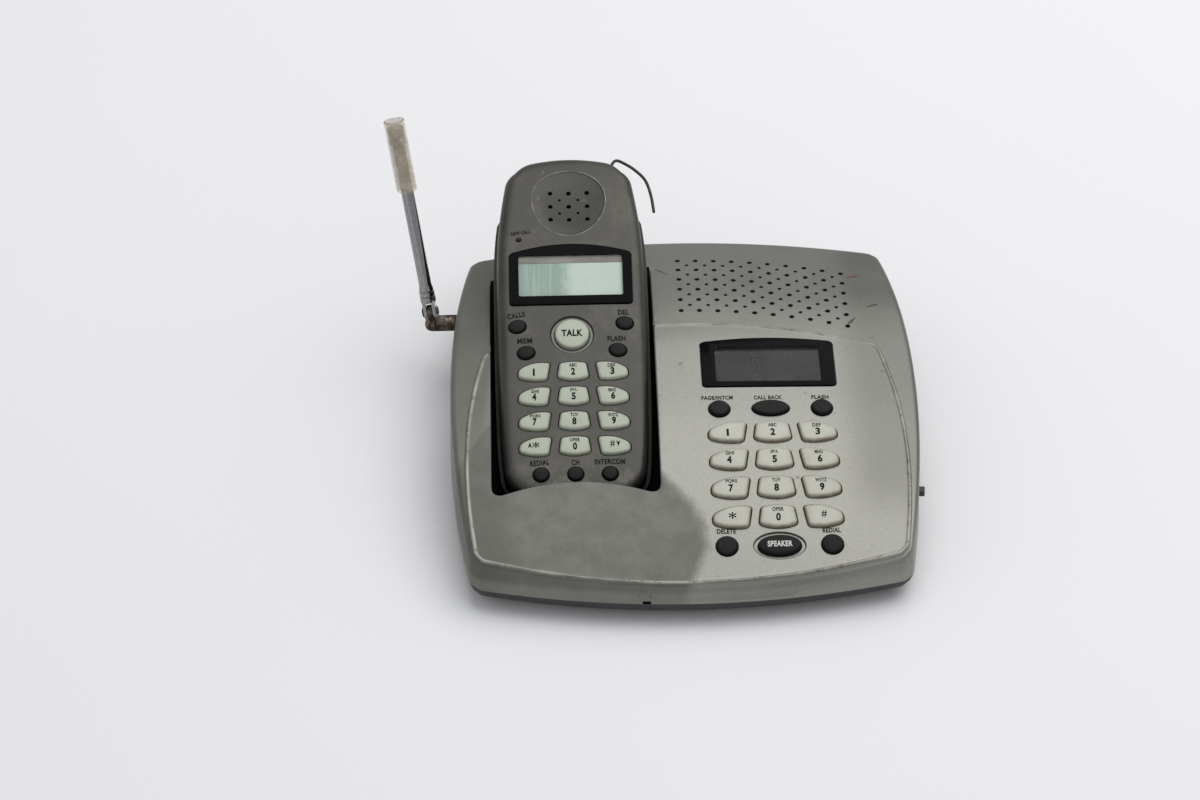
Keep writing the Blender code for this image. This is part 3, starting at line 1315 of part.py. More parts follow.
    def handset_holes(self):
        bm = bmesh.new()
        for name, shape, x, y, rise, finish in self.handset_buttons():
            self.cut(bm, grown(shape, FIT), surface_frame(face_height, x, y), -HOLE_DEPTH)
        opening = window_outline(*HANDSET_SCREEN_HALF, 0, SCREEN_CORNER, side_steps=1)
        self.cut(bm, opening, self.handset_window_frame(), -HOLE_DEPTH)
        for row in (-1, -0.5, 0, 0.5, 1):
            whole = row == int(row)
            for column in (-1, 0, 1) if whole else (-0.5, 0.5):
                x = column * EARPIECE_PITCH[0]
                y = EARPIECE_HOLES_Y + row * EARPIECE_PITCH[1]
                radius = EARPIECE_HOLE if whole else EARPIECE_SMALL_HOLE
                add_cylinder(bm, radius, EARPIECE_HOLE_DEPTH, Matrix.Translation((x, y, 0)), 6)
        start, wall = WIRE_POINTS[0], WIRE_POINTS[1]
        along = (wall - start).to_track_quat("Z", "Y").to_matrix().to_4x4()
        placed = Matrix.Translation(start.lerp(wall, 0.6)) @ along
        add_cylinder(bm, WIRE_RADIUS + FIT, 2 * (wall - start).length, placed, 10)
        return self.tool(new_object("handset_holes", bm, None, self.tools), self.handset)

    def back_frame(self):
        """Frame of the handset's back at its middle: X across, Y to the head, Z into the handset."""
        gap = Vector((POCKET_X, 0, pocket_floor(0) + FIT / math.cos(POCKET_TILT)))
        lying = Matrix.Translation(gap) @ Matrix.Rotation(POCKET_TILT, 4, "X")
        return self.rest.inverted() @ lying

    def back_height(self, y):
        frame = self.back_frame()
        origin, along = frame.translation, frame.to_3x3() @ Vector((0, 1, 0))
        return origin.z + (y - origin.y) * along.z / along.y

    def back_surface(self):
        plan = HandsetPlan(FLANGE_WIDTH)

        def at(u, v, inset, rise):
            x, y = plan.place(u, v, inset)
            return Vector((x, y, self.back_height(y) + rise))

        def parting(u, v):
            x, y = plan.place(u, v, 0)
            return Vector((x, y, HANDSET_PARTING - FIT))

        rings = [
            lambda u, v: at(u, v, BACK_ROUND * 0.4, BACK_ROUND * 0.16),
            lambda u, v: at(u, v, BACK_ROUND * 0.1, BACK_ROUND * 0.55),
            lambda u, v: parting(u, v) - Vector((0, 0, PARTING_BAND)),
            parting,
        ]
        return surface_mesh(
            HANDSET_ACROSS, HANDSET_ALONG, lambda u, v: at(u, v, BACK_ROUND, 0), rings, True, True
        )

    def cover_tool(self, name, margin):
        bm = bmesh.new()
        low, high = HANDSET_END - COVER_REACH, COVER_TOP + margin
        size = (2 * (COVER_HALF_WIDTH + margin), high - low, COVER_TOOL_HEIGHT)
        place = (0, (low + high) / 2, COVER_HEIGHT + margin - COVER_TOOL_HEIGHT / 2)
        add_box(bm, size, place, self.back_frame())
        return self.tool(new_object(name, bm, None, self.tools), self.handset)

    def handset_back(self):
        shell = new_object("handset_back_shell", self.back_surface(), self.gunmetal, self.parts)
        solidify(shell, BACK_WALL)
        boolean(shell, "DIFFERENCE", self.cover_tool("cover_opening", FIT))
        smooth(shell)
        self.add(shell, self.handset)
        cover = new_object("battery_cover", self.back_surface(), self.gunmetal, self.parts)
        solidify(cover, BACK_WALL)
        boolean(cover, "INTERSECT", self.cover_tool("cover_space", 0))
        self.add(cover, self.handset)

    def battery_pack(self):
        frame = self.back_frame()
        centre = COVER_HEIGHT + FIT + CELL_RADIUS
        upright = Matrix.Rotation(math.pi / 2, 4, "X")
        packs = []
        for k in (-1, 0, 1):
            bm = bmesh.new()
            place = frame @ Matrix.Translation((k * CELL_SPACING, CELL_Y, centre))
            shorter = CELL_OVERLAP * abs(k)
            add_cylinder(bm, CELL_RADIUS, CELL_LENGTH - shorter, place @ upright, 12)
            name, group = ("battery_pack", self.parts) if k == 0 else (f"cell_{k}", self.tools)
            obj = new_object(name, bm, self.cell_wrap if k == 0 else None, group)
            packs.append(self.add(obj, self.handset))
        for cell in (packs[0], packs[2]):
            boolean(packs[1], "UNION", helper(cell))

    def handset_wire(self):
        curve = bpy.data.curves.new("handset_antenna_wire", "CURVE")
        curve.dimensions = "3D"
        curve.bevel_depth = WIRE_RADIUS
        curve.bevel_resolution = 2
        curve.use_fill_caps = True
        spline = curve.splines.new("POLY")
        points = smooth_path(WIRE_POINTS, 2)
        spline.points.add(len(points) - 1)
        for point, place in zip(spline.points, points):
            point.co = (*place, 1)
        curve.materials.append(self.wire_black)
        obj = bpy.data.objects.new("handset_antenna_wire", curve)
        self.parts.objects.link(obj)
        self.add(obj, self.handset)

    def build(self):
        self.base_top_shell()
        self.base_bottom_shell()
        self.feet()
        self.jack_block()
        self.base_display()
        self.circuit_board()
        self.loudspeaker()
        self.volume_slider()
        self.antenna_elbow()
        self.antenna_tubes()
        for name, shape, x, y, rise, finish in self.base_buttons():
            frame = surface_frame(panel_height, x, y)
            self.make_button(name, shape, frame, rise, BASE_WALL + PANEL_RAISE, finish, None)
        self.handset_front_shell()
        self.handset_back()
        self.battery_pack()
        self.handset_wire()
        frame = self.handset_window_frame()
        shape = window_outline(*HANDSET_WINDOW_HALF, HANDSET_WINDOW_ARCH, WINDOW_CORNER)
        self.window("handset_display_window", shape, frame, self.handset)
        name, finish = "handset_display_panel", self.handset_screen
        self.screen(name, HANDSET_SCREEN_HALF, frame, HANDSET_WALL, finish, self.handset)
        for name, shape, x, y, rise, finish in self.handset_buttons():
            frame = surface_frame(face_height, x, y)
            self.make_button(name, shape, frame, rise, HANDSET_WALL, finish, self.handset)


def smooth_path(points, steps):
    """Points on a smooth curve through the given ones."""
    path = []
    last = len(points) - 1
    for i in range(last):
        before, here = points[max(i - 1, 0)], points[i]
        there, beyond = points[i + 1], points[min(i + 2, last)]
        leave, arrive = (there - before) / 2, (beyond - here) / 2
        for k in range(steps):
            t = k / steps
            path.append(
                here * (1 + 2 * t) * (1 - t) ** 2
                + leave * t * (1 - t) ** 2
                + there * t * t * (3 - 2 * t)
                - arrive * t * t * (1 - t)
            )
    path.append(points[last])
    return path


def main():
    clear_scene()
    parts, tools = make_collections()
    Telephone(parts, tools).build()
    bpy.context.view_layer.update()


main()
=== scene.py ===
"""Cordless desk telephone: the looks of its speakerphone base and of the handset in the cradle pocket.

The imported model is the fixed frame. Finer pieces made from the same measures stand for its shells, keys,
windows and antenna, and every surface gets a procedural material. Lengths are metres.
"""

import math

import bmesh
import bpy
from mathutils import Matrix, Vector


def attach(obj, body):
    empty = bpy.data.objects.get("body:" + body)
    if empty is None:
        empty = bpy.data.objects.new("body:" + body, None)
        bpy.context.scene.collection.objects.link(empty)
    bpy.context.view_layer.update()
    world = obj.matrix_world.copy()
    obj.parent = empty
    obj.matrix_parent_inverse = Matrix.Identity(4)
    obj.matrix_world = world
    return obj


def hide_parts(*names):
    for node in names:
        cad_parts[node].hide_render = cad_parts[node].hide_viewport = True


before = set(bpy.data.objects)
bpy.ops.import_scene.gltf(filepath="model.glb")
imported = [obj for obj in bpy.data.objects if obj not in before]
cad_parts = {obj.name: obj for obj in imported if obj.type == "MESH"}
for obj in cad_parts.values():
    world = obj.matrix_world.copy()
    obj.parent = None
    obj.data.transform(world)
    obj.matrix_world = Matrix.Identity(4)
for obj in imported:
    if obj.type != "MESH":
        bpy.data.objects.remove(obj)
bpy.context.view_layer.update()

MM = 0.001
DEGREE = math.pi / 180
FIT = 0.3 * MM

# Measures of the base, as in the solids. The feet stand on Z = 0
RIM_FRONT, RIM_REAR = -98.4 * MM, 103.4 * MM
EDGE_FRONT, EDGE_REAR = -96.0 * MM, 102.2 * MM
RIM_HALF_WIDTH, RIM_SIDE_BOW = 88.0 * MM, 8.79 * MM
EDGE_HALF_WIDTH, EDGE_SIDE_BOW = 87.6 * MM, 8.5 * MM
FRONT_BOW, REAR_BOW = 11.5 * MM, 9.0 * MM
CORNER_RADIUS = 4.6 * MM
UNDERSIDE = 1.5 * MM
RIM_HEIGHT = 10.0 * MM
RIM_BAND = 1.2 * MM
BASE_WALL, BOTTOM_WALL = 2.2 * MM, 1.8 * MM
SHOULDER_RADIUS = 2.4 * MM
UNDER_DECK_INSET = 3.6 * MM
BOTTOM_TUCK = 9.0 * MM
DECK_CROWN = 3.0 * MM
DECK_KNOTS = (
    (-98 * MM, 15.2 * MM),
    (-67 * MM, 26.4 * MM),
    (-27 * MM, 36.5 * MM),
    (8 * MM, 40.8 * MM),
    (46 * MM, 42.9 * MM),
    (76 * MM, 41.0 * MM),
    (100 * MM, 37.2 * MM),
)
PANEL_RAISE = 0.8 * MM
PANEL_HALF_WIDTH, PANEL_SIDE_BOW, PANEL_TAPER = 84.3 * MM, 5.6 * MM, -2.0 * MM
PANEL_FRONT, PANEL_REAR = -94.8 * MM, 37.5 * MM
PANEL_REAR_BOW, PANEL_CORNER = 13.5 * MM, 4.0 * MM
POCKET_X, POCKET_HALF_WIDTH = -45.3 * MM, 34.0 * MM
POCKET_FRONT, POCKET_REAR = -55.6 * MM, 130.0 * MM
POCKET_TAB, POCKET_CORNER = 6.9 * MM, 6.0 * MM
POCKET_WALL, POCKET_FLOOR = 2.0 * MM, 6.6 * MM
POCKET_TILT = 14.0 * DEGREE

# Base keys and display
KEY_SIZE, KEY_RISE = (15.6 * MM, 10.4 * MM), 1.7 * MM
KEYPAD_X, KEYPAD_Y = 35.0 * MM, -46.9 * MM
KEY_PITCH_X, KEY_PITCH_Y = 18.1 * MM, 13.4 * MM
KEY_FLANGE, FLANGE_CLEARANCE, FLANGE_THICKNESS = 0.8 * MM, 0.6 * MM, 0.9 * MM
ROUND_BUTTON_RADIUS, ROUND_BUTTON_PITCH = 4.15 * MM, 21.0 * MM
CALL_BACK_HALF = (7.5 * MM, 4.0 * MM)
SPEAKER_HALF = (8.7 * MM, 4.4 * MM)
SPEAKER_RECESS, SPEAKER_RECESS_DEPTH = 1.5 * MM, 0.9 * MM
UPPER_ROW_Y = KEYPAD_Y + 1.5 * KEY_PITCH_Y + 12.8 * MM
LOWER_ROW_Y = KEYPAD_Y - 1.5 * KEY_PITCH_Y - 12.3 * MM
BASE_WINDOW = (35.3 * MM, 11.6 * MM)
BASE_WINDOW_HALF, BASE_WINDOW_ARCH = (27.6 * MM, 13.2 * MM), 2.4 * MM
BASE_SCREEN_HALF = (21.8 * MM, 10.4 * MM)
WINDOW_THICKNESS, WINDOW_PROUD, WINDOW_ROUNDING = 1.3 * MM, 0.3 * MM, 0.35 * MM

# Grille, jacks, slider and the microphone's notch
GRILLE_X, GRILLE_Y = 1.0 * MM, 84.7 * MM
GRILLE_COLUMNS, GRILLE_ROWS = 10, 6
GRILLE_PITCH_X, GRILLE_PITCH_Y, GRILLE_BOW = 7.72 * MM, 7.6 * MM, 2.2
GRILLE_HOLE, GRILLE_SMALL_HOLE = 1.08 * MM, 0.8 * MM
JACK_X, JACK_SIZE, JACK_BASE = 15.0 * MM, (32.0 * MM, 15.0 * MM, 11.0 * MM), 10.6 * MM
JACK_INSET, JACK_BEHIND = 4.5 * MM, 1.5 * MM
PLINTH_DEPTH, PLINTH_FORWARD = 6.6 * MM, 3.8 * MM
NOTCH_X, NOTCH_SIZE = -18.5 * MM, (3.3 * MM, 8.0 * MM, 1.4 * MM)
SLIDER_Y, SLIDER_Z = -42.0 * MM, 17.0 * MM
SLIDER_KNOB, SLIDER_PROUD, SLIDER_TRAVEL = (3.4 * MM, 2.8 * MM), 2.2 * MM, 4.0 * MM
SLIDER_PLATE = (1.2 * MM, 16.0 * MM, 7.0 * MM)

# Antenna
STUB_Y, STUB_Z, STUB_RADIUS = 62.0 * MM, 26.5 * MM, 3.45 * MM
STUB_OUTER, STUB_INNER = -104.0 * MM, -84.0 * MM
PIVOT = Vector((-105.0 * MM, 60.0 * MM, 34.5 * MM))
LEAN_BACK, LEAN_OUT = 19.0 * DEGREE, 9.0 * DEGREE
TONGUE, CHEEK, EYE_RADIUS = 2.0 * MM, 1.3 * MM, 3.0 * MM
RIVET_RADIUS, RIVET_HEAD_RADIUS, RIVET_HEAD = 1.1 * MM, 2.0 * MM, 0.7 * MM
FERRULE_RADIUS, FERRULE_START, TUBE_START = 3.3 * MM, 4.6 * MM, 9.5 * MM
TUBE_RADIUS, TUBE_BORE, TUBE_END = 2.65 * MM, 2.2 * MM, 74.6 * MM
MIDDLE_RADIUS, MIDDLE_BORE, MIDDLE_START = 1.9 * MM, 1.45 * MM, 13.0 * MM
ROD_RADIUS, ROD_START = 1.15 * MM, 15.0 * MM
CAP_RADIUS, CAP_END = 3.45 * MM, 83.0 * MM
SLEEVE_RADIUS, SLEEVE_BORE = 4.35 * MM, 3.75 * MM
SLEEVE_START, SLEEVE_END = 54.5 * MM, 85.5 * MM

# Handset, in its own frame: X across, Y towards the head, Z out of its face
HANDSET_TILT, FACE_OFFSET = 18.5 * DEGREE, 39.4 * MM
HANDSET_END, HANDSET_HEAD = -39.0 * MM, 130.7 * MM
HANDSET_END_BOW, HANDSET_HEAD_BOW = 1.5 * MM, 5.0 * MM
HANDSET_WIDTH_KNOTS = (
    (-39 * MM, 27.6 * MM),
    (-10 * MM, 30.2 * MM),
    (70 * MM, 31.0 * MM),
    (95 * MM, 29.9 * MM),
    (129 * MM, 25.2 * MM),
)
HANDSET_END_CORNER, HANDSET_HEAD_CORNER = 12.0 * MM, 9.0 * MM
PARTING, PARTING_BAND = -10.0 * MM, 1.0 * MM
HANDSET_WALL, HANDSET_CROWN = 2.0 * MM, 0.6 * MM
HEAD_DROP, HEAD_DROP_START = 2.6 * MM, 108.0 * MM
END_DROP, END_DROP_START = 1.2 * MM, -22.0 * MM
FACE_ROUND, FACE_ROUND_DROP, BACK_ROUND = 5.0 * MM, 4.6 * MM, 5.0 * MM
FLANGE_WIDTH, FLANGE_STEP, FLANGE_FADE = 1.4 * MM, 100.0 * MM, 4.0 * MM
HANDSET_KEY_SIZE, HANDSET_KEY_RISE = (13.2 * MM, 9.0 * MM), 1.3 * MM
HANDSET_KEYPAD_Y = 2.4 * MM
HANDSET_PITCH_X, HANDSET_PITCH_Y = 15.95 * MM, 11.95 * MM
SMALL_BUTTON_HALF = (3.5 * MM, 3.0 * MM)
BOTTOM_BUTTON_RADIUS, BOTTOM_ROW_Y, BOTTOM_ROW_PITCH = 3.1 * MM, -28.6 * MM, 14.0 * MM
TALK_Y, TALK_RADIUS = 38.4 * MM, 7.1 * MM
TALK_RECESS, TALK_RECESS_DEPTH = 2.2 * MM, 1.1 * MM
HANDSET_WINDOW_Y = 66.3 * MM
HANDSET_WINDOW_HALF, HANDSET_WINDOW_ARCH = (25.7 * MM, 13.0 * MM), 4.0 * MM
HANDSET_SCREEN_HALF, HANDSET_MASK = (21.9 * MM, 8.8 * MM), 3.2 * MM
EARPIECE_Y, EARPIECE_HALF, EARPIECE_DEPTH = 104.9 * MM, (15.4 * MM, 16.7 * MM), 1.4 * MM
EARPIECE_PITCH, EARPIECE_HOLES_Y = (7.8 * MM, 6.8 * MM), 103.7 * MM
EARPIECE_HOLE, EARPIECE_SMALL_HOLE = 1.0 * MM, 0.6 * MM
EARPIECE_EGG = 0.10
DISH_SHARES = (0.02, 0.15, 0.28, 0.4, 0.5, 0.6, 0.69, 0.77, 0.84, 0.9, 0.95, 0.985)
WIRE_RADIUS = 0.65 * MM
WIRE_POINTS = [
    Vector(place) * MM
    for place in (
        (18.0, 123.2, -5.9),
        (18.9, 128.0, -6.0),
        (21.0, 130.5, -6.2),
        (24.6, 129.2, -6.8),
        (29.0, 126.2, -7.6),
        (33.2, 121.4, -8.4),
        (35.4, 114.2, -9.4),
        (36.4, 106.4, -10.4),
    )
]
COVER_HALF_WIDTH, COVER_TOP, COVER_HEIGHT = 21.7 * MM, 30.0 * MM, 2.0 * MM
CONTACT_X, CONTACT_Y = 9.0 * MM, 45.0 * MM
HANDSET_SCREW_X, HANDSET_SCREW_Y = 15.0 * MM, 100.0 * MM

# Cutters, caps and print
HOLE_DEPTH, CUT_HEIGHT = 8.0 * MM, 6.0 * MM
KEY_ROUNDING, KEY_CROWN = 1.15 * MM, 0.22 * MM
BUTTON_ROUNDING, BUTTON_CROWN = 0.9 * MM, 0.28 * MM
PRINT_RISE, PRINT_ROOT = 0.035 * MM, -0.12 * MM

# Outlines of the key caps, as shares of half the cap's width and depth
MIDDLE_KEY = (
    ((-0.99, -0.66), (0.99, -0.66), (0.84, 0.86), (-0.84, 0.86)),
    (0.34, 0, 0.14, 0),
    (0.30, 0.30, 0.26, 0.26),
)
LEFT_KEY = (
    ((-1.03, -0.58), (0.78, -0.90), (0.99, 0.90), (-1.00, 0.22)),
    (0.22, 0, 0.34, 0),
    (0.33, 0.28, 0.24, 0.33),
)

# Frames: the telephone's own, the handset's and the antenna's
PHONE = Matrix.Translation((12.6 * MM, -10.5 * MM, 0))
REST = (
    Matrix.Translation((POCKET_X, 0, 0))
    @ Matrix.Rotation(HANDSET_TILT, 4, "X")
    @ Matrix.Translation((0, 0, FACE_OFFSET))
)
HANDSET = PHONE @ REST
ANTENNA = (
    PHONE
    @ Matrix.Translation(PIVOT)
    @ Matrix.Rotation(-LEAN_OUT, 4, "Y")
    @ Matrix.Rotation(-LEAN_BACK, 4, "X")
)


def ease(knots, at):
    """Smooth curve through knots of (place, value)."""
    places = [knot[0] for knot in knots]
    values = [knot[1] for knot in knots]
    last = len(knots) - 1
    slopes = []
    for i in range(len(knots)):
        low, high = max(i - 1, 0), min(i + 1, last)
        slopes.append((values[high] - values[low]) / (places[high] - places[low]))
    if at <= places[0]:
        return values[0] + slopes[0] * (at - places[0])
    if at >= places[last]:
        return values[last] + slopes[last] * (at - places[last])
    i = max(k for k in range(last) if places[k] <= at)
    span = places[i + 1] - places[i]
    t = (at - places[i]) / span
    return (
        values[i] * (1 + 2 * t) * (1 - t) ** 2
        + slopes[i] * span * t * (1 - t) ** 2
        + values[i + 1] * t * t * (3 - 2 * t)
        - slopes[i + 1] * span * t * t * (1 - t)
    )


def deck_height(x, y):
    share = (y - RIM_FRONT) / (RIM_REAR - RIM_FRONT)
    return ease(DECK_KNOTS, y) - DECK_CROWN * share * (x / EDGE_HALF_WIDTH) ** 2


def panel_height(x, y):
    return deck_height(x, y) + PANEL_RAISE


def pocket_floor(y):
    return POCKET_FLOOR + (y - POCKET_FRONT) * math.tan(POCKET_TILT)


def face_height(x, y):
    """The handset's face: a slight crown that falls away at the head and at the lower end."""
    head = max(0.0, (y - HEAD_DROP_START) / (HANDSET_HEAD - HEAD_DROP_START))
    end = max(0.0, (END_DROP_START - y) / (END_DROP_START - HANDSET_END))
    crown = HANDSET_CROWN * (x / HANDSET_WIDTH_KNOTS[2][1]) ** 2
    return -crown - HEAD_DROP * head**2 - END_DROP * end**2


def surface_frame(height, x, y, turn=0.0):
    """Frame on a height field: its Z is the surface's normal."""
    step = 0.5 * MM
    across = Vector((2 * step, 0, height(x + step, y) - height(x - step, y))).normalized()
    along = Vector((0, 2 * step, height(x, y + step) - height(x, y - step))).normalized()
    normal = across.cross(along).normalized()
    along = normal.cross(across)
    placed = Matrix((across, along, normal)).transposed().to_4x4()
    placed.translation = (x, y, height(x, y))
    return placed @ Matrix.Rotation(turn, 4, "Z")


class Plan:
    """A plan with bowed sides and round corners, reached by shares from -1 to 1 across and along."""

    def __init__(self, front, rear, half_width, front_bow, rear_bow, side_bow, corners, taper=0.0):
        self.front, self.rear = front, rear
        self.half_width, self.side_bow, self.taper = half_width, side_bow, taper
        self.front_bow, self.rear_bow = front_bow, rear_bow
        self.corners = corners

    def half(self, y, along):
        return self.half_width + self.taper * along + self.side_bow * (1 - along * along)

    def place(self, across, along, inset=0.0):
        front = self.front + inset + self.front_bow * across * across
        rear = self.rear - inset - self.rear_bow * across * across
        y = front + (rear - front) * (along + 1) / 2
        half = self.half(y, along) - inset
        corner = max(0.1 * MM, self.corners[along > 0] - inset)
        p = max(0.0, 1 - (1 - abs(across)) * half / corner)
        q = max(0.0, 1 - (1 - abs(along)) * (rear - front) / 2 / corner)
        pull_x = corner * p * (1 - math.sqrt(1 - q * q / 2))
        pull_y = corner * q * (1 - math.sqrt(1 - p * p / 2))
        return across * half - math.copysign(pull_x, across), y - math.copysign(pull_y, along)

    def across(self, inner, outer):
        near = 1 - max(self.corners) / self.half((self.front + self.rear) / 2, 0)
        return shares((near, near), inner, outer)

    def along(self, inner, outer):
        return shares([1 - 2 * corner / (self.rear - self.front) for corner in self.corners], inner, outer)


class HandsetPlan(Plan):
    def __init__(self, widen=0.0):
        ends = (HANDSET_END_BOW, HANDSET_HEAD_BOW)
        super().__init__(HANDSET_END, HANDSET_HEAD, 0, *ends, 0, (HANDSET_END_CORNER, HANDSET_HEAD_CORNER))
        self.widen = widen

    def half(self, y, along):
        fade = min(1.0, max(0.0, (FLANGE_STEP + FLANGE_FADE - y) / FLANGE_FADE))
        return ease(HANDSET_WIDTH_KNOTS, y) + self.widen * fade


def shares(near, inner, outer):
    """Shares from -1 to 1: even steps between the corners, and finer ones round them."""
    first = [-1 + (1 - near[0]) * k / outer for k in range(outer)]
    middle = [-near[0] + (near[0] + near[1]) * k / inner for k in range(inner + 1)]
    last = [near[1] + (1 - near[1]) * (k + 1) / outer for k in range(outer)]
    return first + middle + last


def rim_walk(across, along):
    """The shares round the edge of a grid, anticlockwise from the front left corner."""
    walk = [(u, along[0]) for u in across[:-1]]
    walk += [(across[-1], v) for v in along[:-1]]
    walk += [(u, along[-1]) for u in reversed(across[1:])]
    walk += [(across[0], v) for v in reversed(along[1:])]
    return walk


def surface_mesh(across, along, middle, rings, underside=False):
    """An open surface: a grid with its edge carried on through rings, as functions of the shares.

    An underside is one flat face with rings, and faces down.
    """
    bm = bmesh.new()
    walk = rim_walk(across, along)
    if underside:
        edge = [bm.verts.new(middle(u, v)) for u, v in walk]
        bm.faces.new(edge)
    else:
        grid = {(u, v): bm.verts.new(middle(u, v)) for u in across for v in along}
        for u, right in zip(across, across[1:]):
            for v, behind in zip(along, along[1:]):
                bm.faces.new([grid[u, v], grid[right, v], grid[right, behind], grid[u, behind]])
        edge = [grid[share] for share in walk]
    for ring in rings:
        outer = [bm.verts.new(ring(u, v)) for u, v in walk]
        for k in range(len(walk)):
            after = (k + 1) % len(walk)
            bm.faces.new([outer[k], outer[after], edge[after], edge[k]])
        edge = outer
    if underside:
        bmesh.ops.reverse_faces(bm, faces=bm.faces)
    return bm


def close_below(bm):
    """Closes an open surface into a body."""
    loose = [edge for edge in bm.edges if len(edge.link_faces) == 1]
    bmesh.ops.holes_fill(bm, edges=loose)
    bmesh.ops.recalc_face_normals(bm, faces=bm.faces)
    return bm


def loft(bm, rings, loop=False):
    """Adds one closed body through rings of points, anticlockwise and from low to high, or back to the first."""
    rows = [[bm.verts.new(point) for point in ring] for ring in rings]
    count = len(rows[0])
    faces = []
    for lower, upper in zip(rows, rows[1:] + rows[:loop]):
        for k in range(count):
            after = (k + 1) % count
            faces.append(bm.faces.new((lower[k], lower[after], upper[after], upper[k])))
    if not loop:
        faces.append(bm.faces.new(reversed(rows[0])))
        faces.append(bm.faces.new(rows[-1]))
    return faces


def prism(bm, shape, placed, low, high):
    """Adds a straight body on an outline."""
    loft(bm, [[placed @ point for point in level(shape, height)] for height in (low, high)])


def add_box(bm, size, centre, placed=None):
    matrix = (placed or Matrix()) @ Matrix.Translation(centre) @ Matrix.Diagonal((*size, 1))
    return bmesh.ops.create_cube(bm, size=1, matrix=matrix)["verts"]


def add_soft_box(bm, size, centre, radius, placed=None):
    """A box with rounded edges."""
    made = add_box(bm, size, centre, placed)
    edges = list({edge for vert in made for edge in vert.link_edges})
    bmesh.ops.bevel(bm, geom=edges, offset=radius, segments=3, profile=0.5, affect="EDGES")


def turned(bm, profile, placed, sides=32, loop=False):
    """Adds a turned body. Its profile runs up from the axis along the outside and back, or is a loop."""
    rings = []
    for radius, height in profile:
        turns = [2 * math.pi * k / sides for k in range(sides)]
        rings.append([placed @ Vector((radius * math.cos(a), radius * math.sin(a), height)) for a in turns])
    return loft(bm, rings, loop)


def oval(half_x, half_y, sides=48, turn=0.0):
    points = []
    for k in range(sides):
        angle = 2 * math.pi * (k + 0.5) / sides
        x, y = half_x * math.cos(angle), half_y * math.sin(angle)
        points.append((x * math.cos(turn) - y * math.sin(turn), x * math.sin(turn) + y * math.cos(turn)))
    return points


def half_round(radius, start):
    """Points on half a circle, anticlockwise from an angle."""
    turns = [start + math.pi * k / 16 for k in range(17)]
    return [(radius * math.cos(angle), radius * math.sin(angle)) for angle in turns]


def bowed(a, b, bow, share):
    """Point on a side from a to b that bows outwards."""
    out = Vector((b.y - a.y, a.x - b.x)).normalized()
    return a.lerp(b, share) + out * bow * 4 * share * (1 - share)


def outline(corners, bows, setbacks, side_steps=10, corner_steps=6):
    """Closed anticlockwise outline of sides between rounded corners."""
    corners = [Vector(corner) for corner in corners]
    count = len(corners)
    points = []
    for i in range(count):
        here, there, beyond = corners[i], corners[(i + 1) % count], corners[(i + 2) % count]
        length = (there - here).length
        start, stop = setbacks[i] / length, 1 - setbacks[(i + 1) % count] / length
        for k in range(side_steps + 1):
            points.append(bowed(here, there, bows[i], start + (stop - start) * k / side_steps))
        turn = (i + 1) % count
        after = bowed(there, beyond, bows[turn], setbacks[turn] / (beyond - there).length)
        before = points[-1]
        for k in range(1, corner_steps):
            t = k / corner_steps
            points.append(before * (1 - t) ** 2 + there * 2 * t * (1 - t) + after * t * t)
    return [(point.x, point.y) for point in points]


def key_outline(column, size):
    width, depth = size
    corners, bows, setbacks = MIDDLE_KEY if column == 1 else LEFT_KEY
    corners = [(x * width / 2, y * depth / 2) for x, y in corners]
    bows = [bow * depth / 2 for bow in bows]
    setbacks = [setback * depth / 2 for setback in setbacks]
    points = outline(corners, bows, setbacks)
    if column == 2:
        points = [(-x, y) for x, y in reversed(points)]
    return points


def window_outline(half_x, half_y, arch, corner, side_steps=12):
    corners = ((-half_x, -half_y), (half_x, -half_y), (half_x, half_y), (-half_x, half_y))
    return outline(corners, (0, 0, arch, 0), (corner,) * 4, side_steps=side_steps)


def grown(points, distance):
    """The outline moved outwards by a distance."""
    moved = []
    count = len(points)
    for k in range(count):
        here = Vector(points[k])
        before = (here - Vector(points[k - 1])).normalized()
        after = (Vector(points[(k + 1) % count]) - here).normalized()
        out = Vector(((before + after).y, -(before + after).x)).normalized()
        stretch = max(0.4, out.dot(Vector((after.y, -after.x))))
        moved.append(tuple(here + out * distance / stretch))
    return moved


def level(points, height):
    return [Vector((x, y, height)) for x, y in points]


def smooth_path(points, steps):
    """Points on a smooth curve through the given ones."""
    path = []
    last = len(points) - 1
    for i in range(last):
        before, here = points[max(i - 1, 0)], points[i]
        there, beyond = points[i + 1], points[min(i + 2, last)]
        leave, arrive = (there - before) / 2, (beyond - here) / 2
        for k in range(steps):
            t = k / steps
            path.append(
                here * (1 + 2 * t) * (1 - t) ** 2
                + leave * t * (1 - t) ** 2
                + there * t * t * (3 - 2 * t)
                - arrive * t * t * (1 - t)
            )
    path.append(points[last])
    return path


def tube_along(bm, path, radius, sides=16):
    """A closed tube along a path, with a rounded tip at its end."""
    rings = []
    side = Vector((0, 0, 1))
    for k, point in enumerate(path):
        along = (path[min(k + 1, len(path) - 1)] - path[max(k - 1, 0)]).normalized()
        side = (side - along * side.dot(along)).normalized()
        other = along.cross(side)
        turns = [2 * math.pi * i / sides for i in range(sides)]
        rings.append([point + (side * math.cos(a) + other * math.sin(a)) * radius for a in turns])
    rings += tip_rings(rings[-1], path[-1], along, (30, 60, 85), radius)
    loft(bm, rings)


def tip_rings(last, tip, along, angles, reach):
    """Rings of a rounded tip beyond the last ring of a tube."""
    for angle in angles:
        out, share = math.sin(angle * DEGREE) * reach, math.cos(angle * DEGREE)
        yield [tip + along * out + (point - tip) * share for point in last]


# Making pieces

workbench = bpy.data.collections.new("telephone_looks")
bpy.context.scene.collection.children.link(workbench)


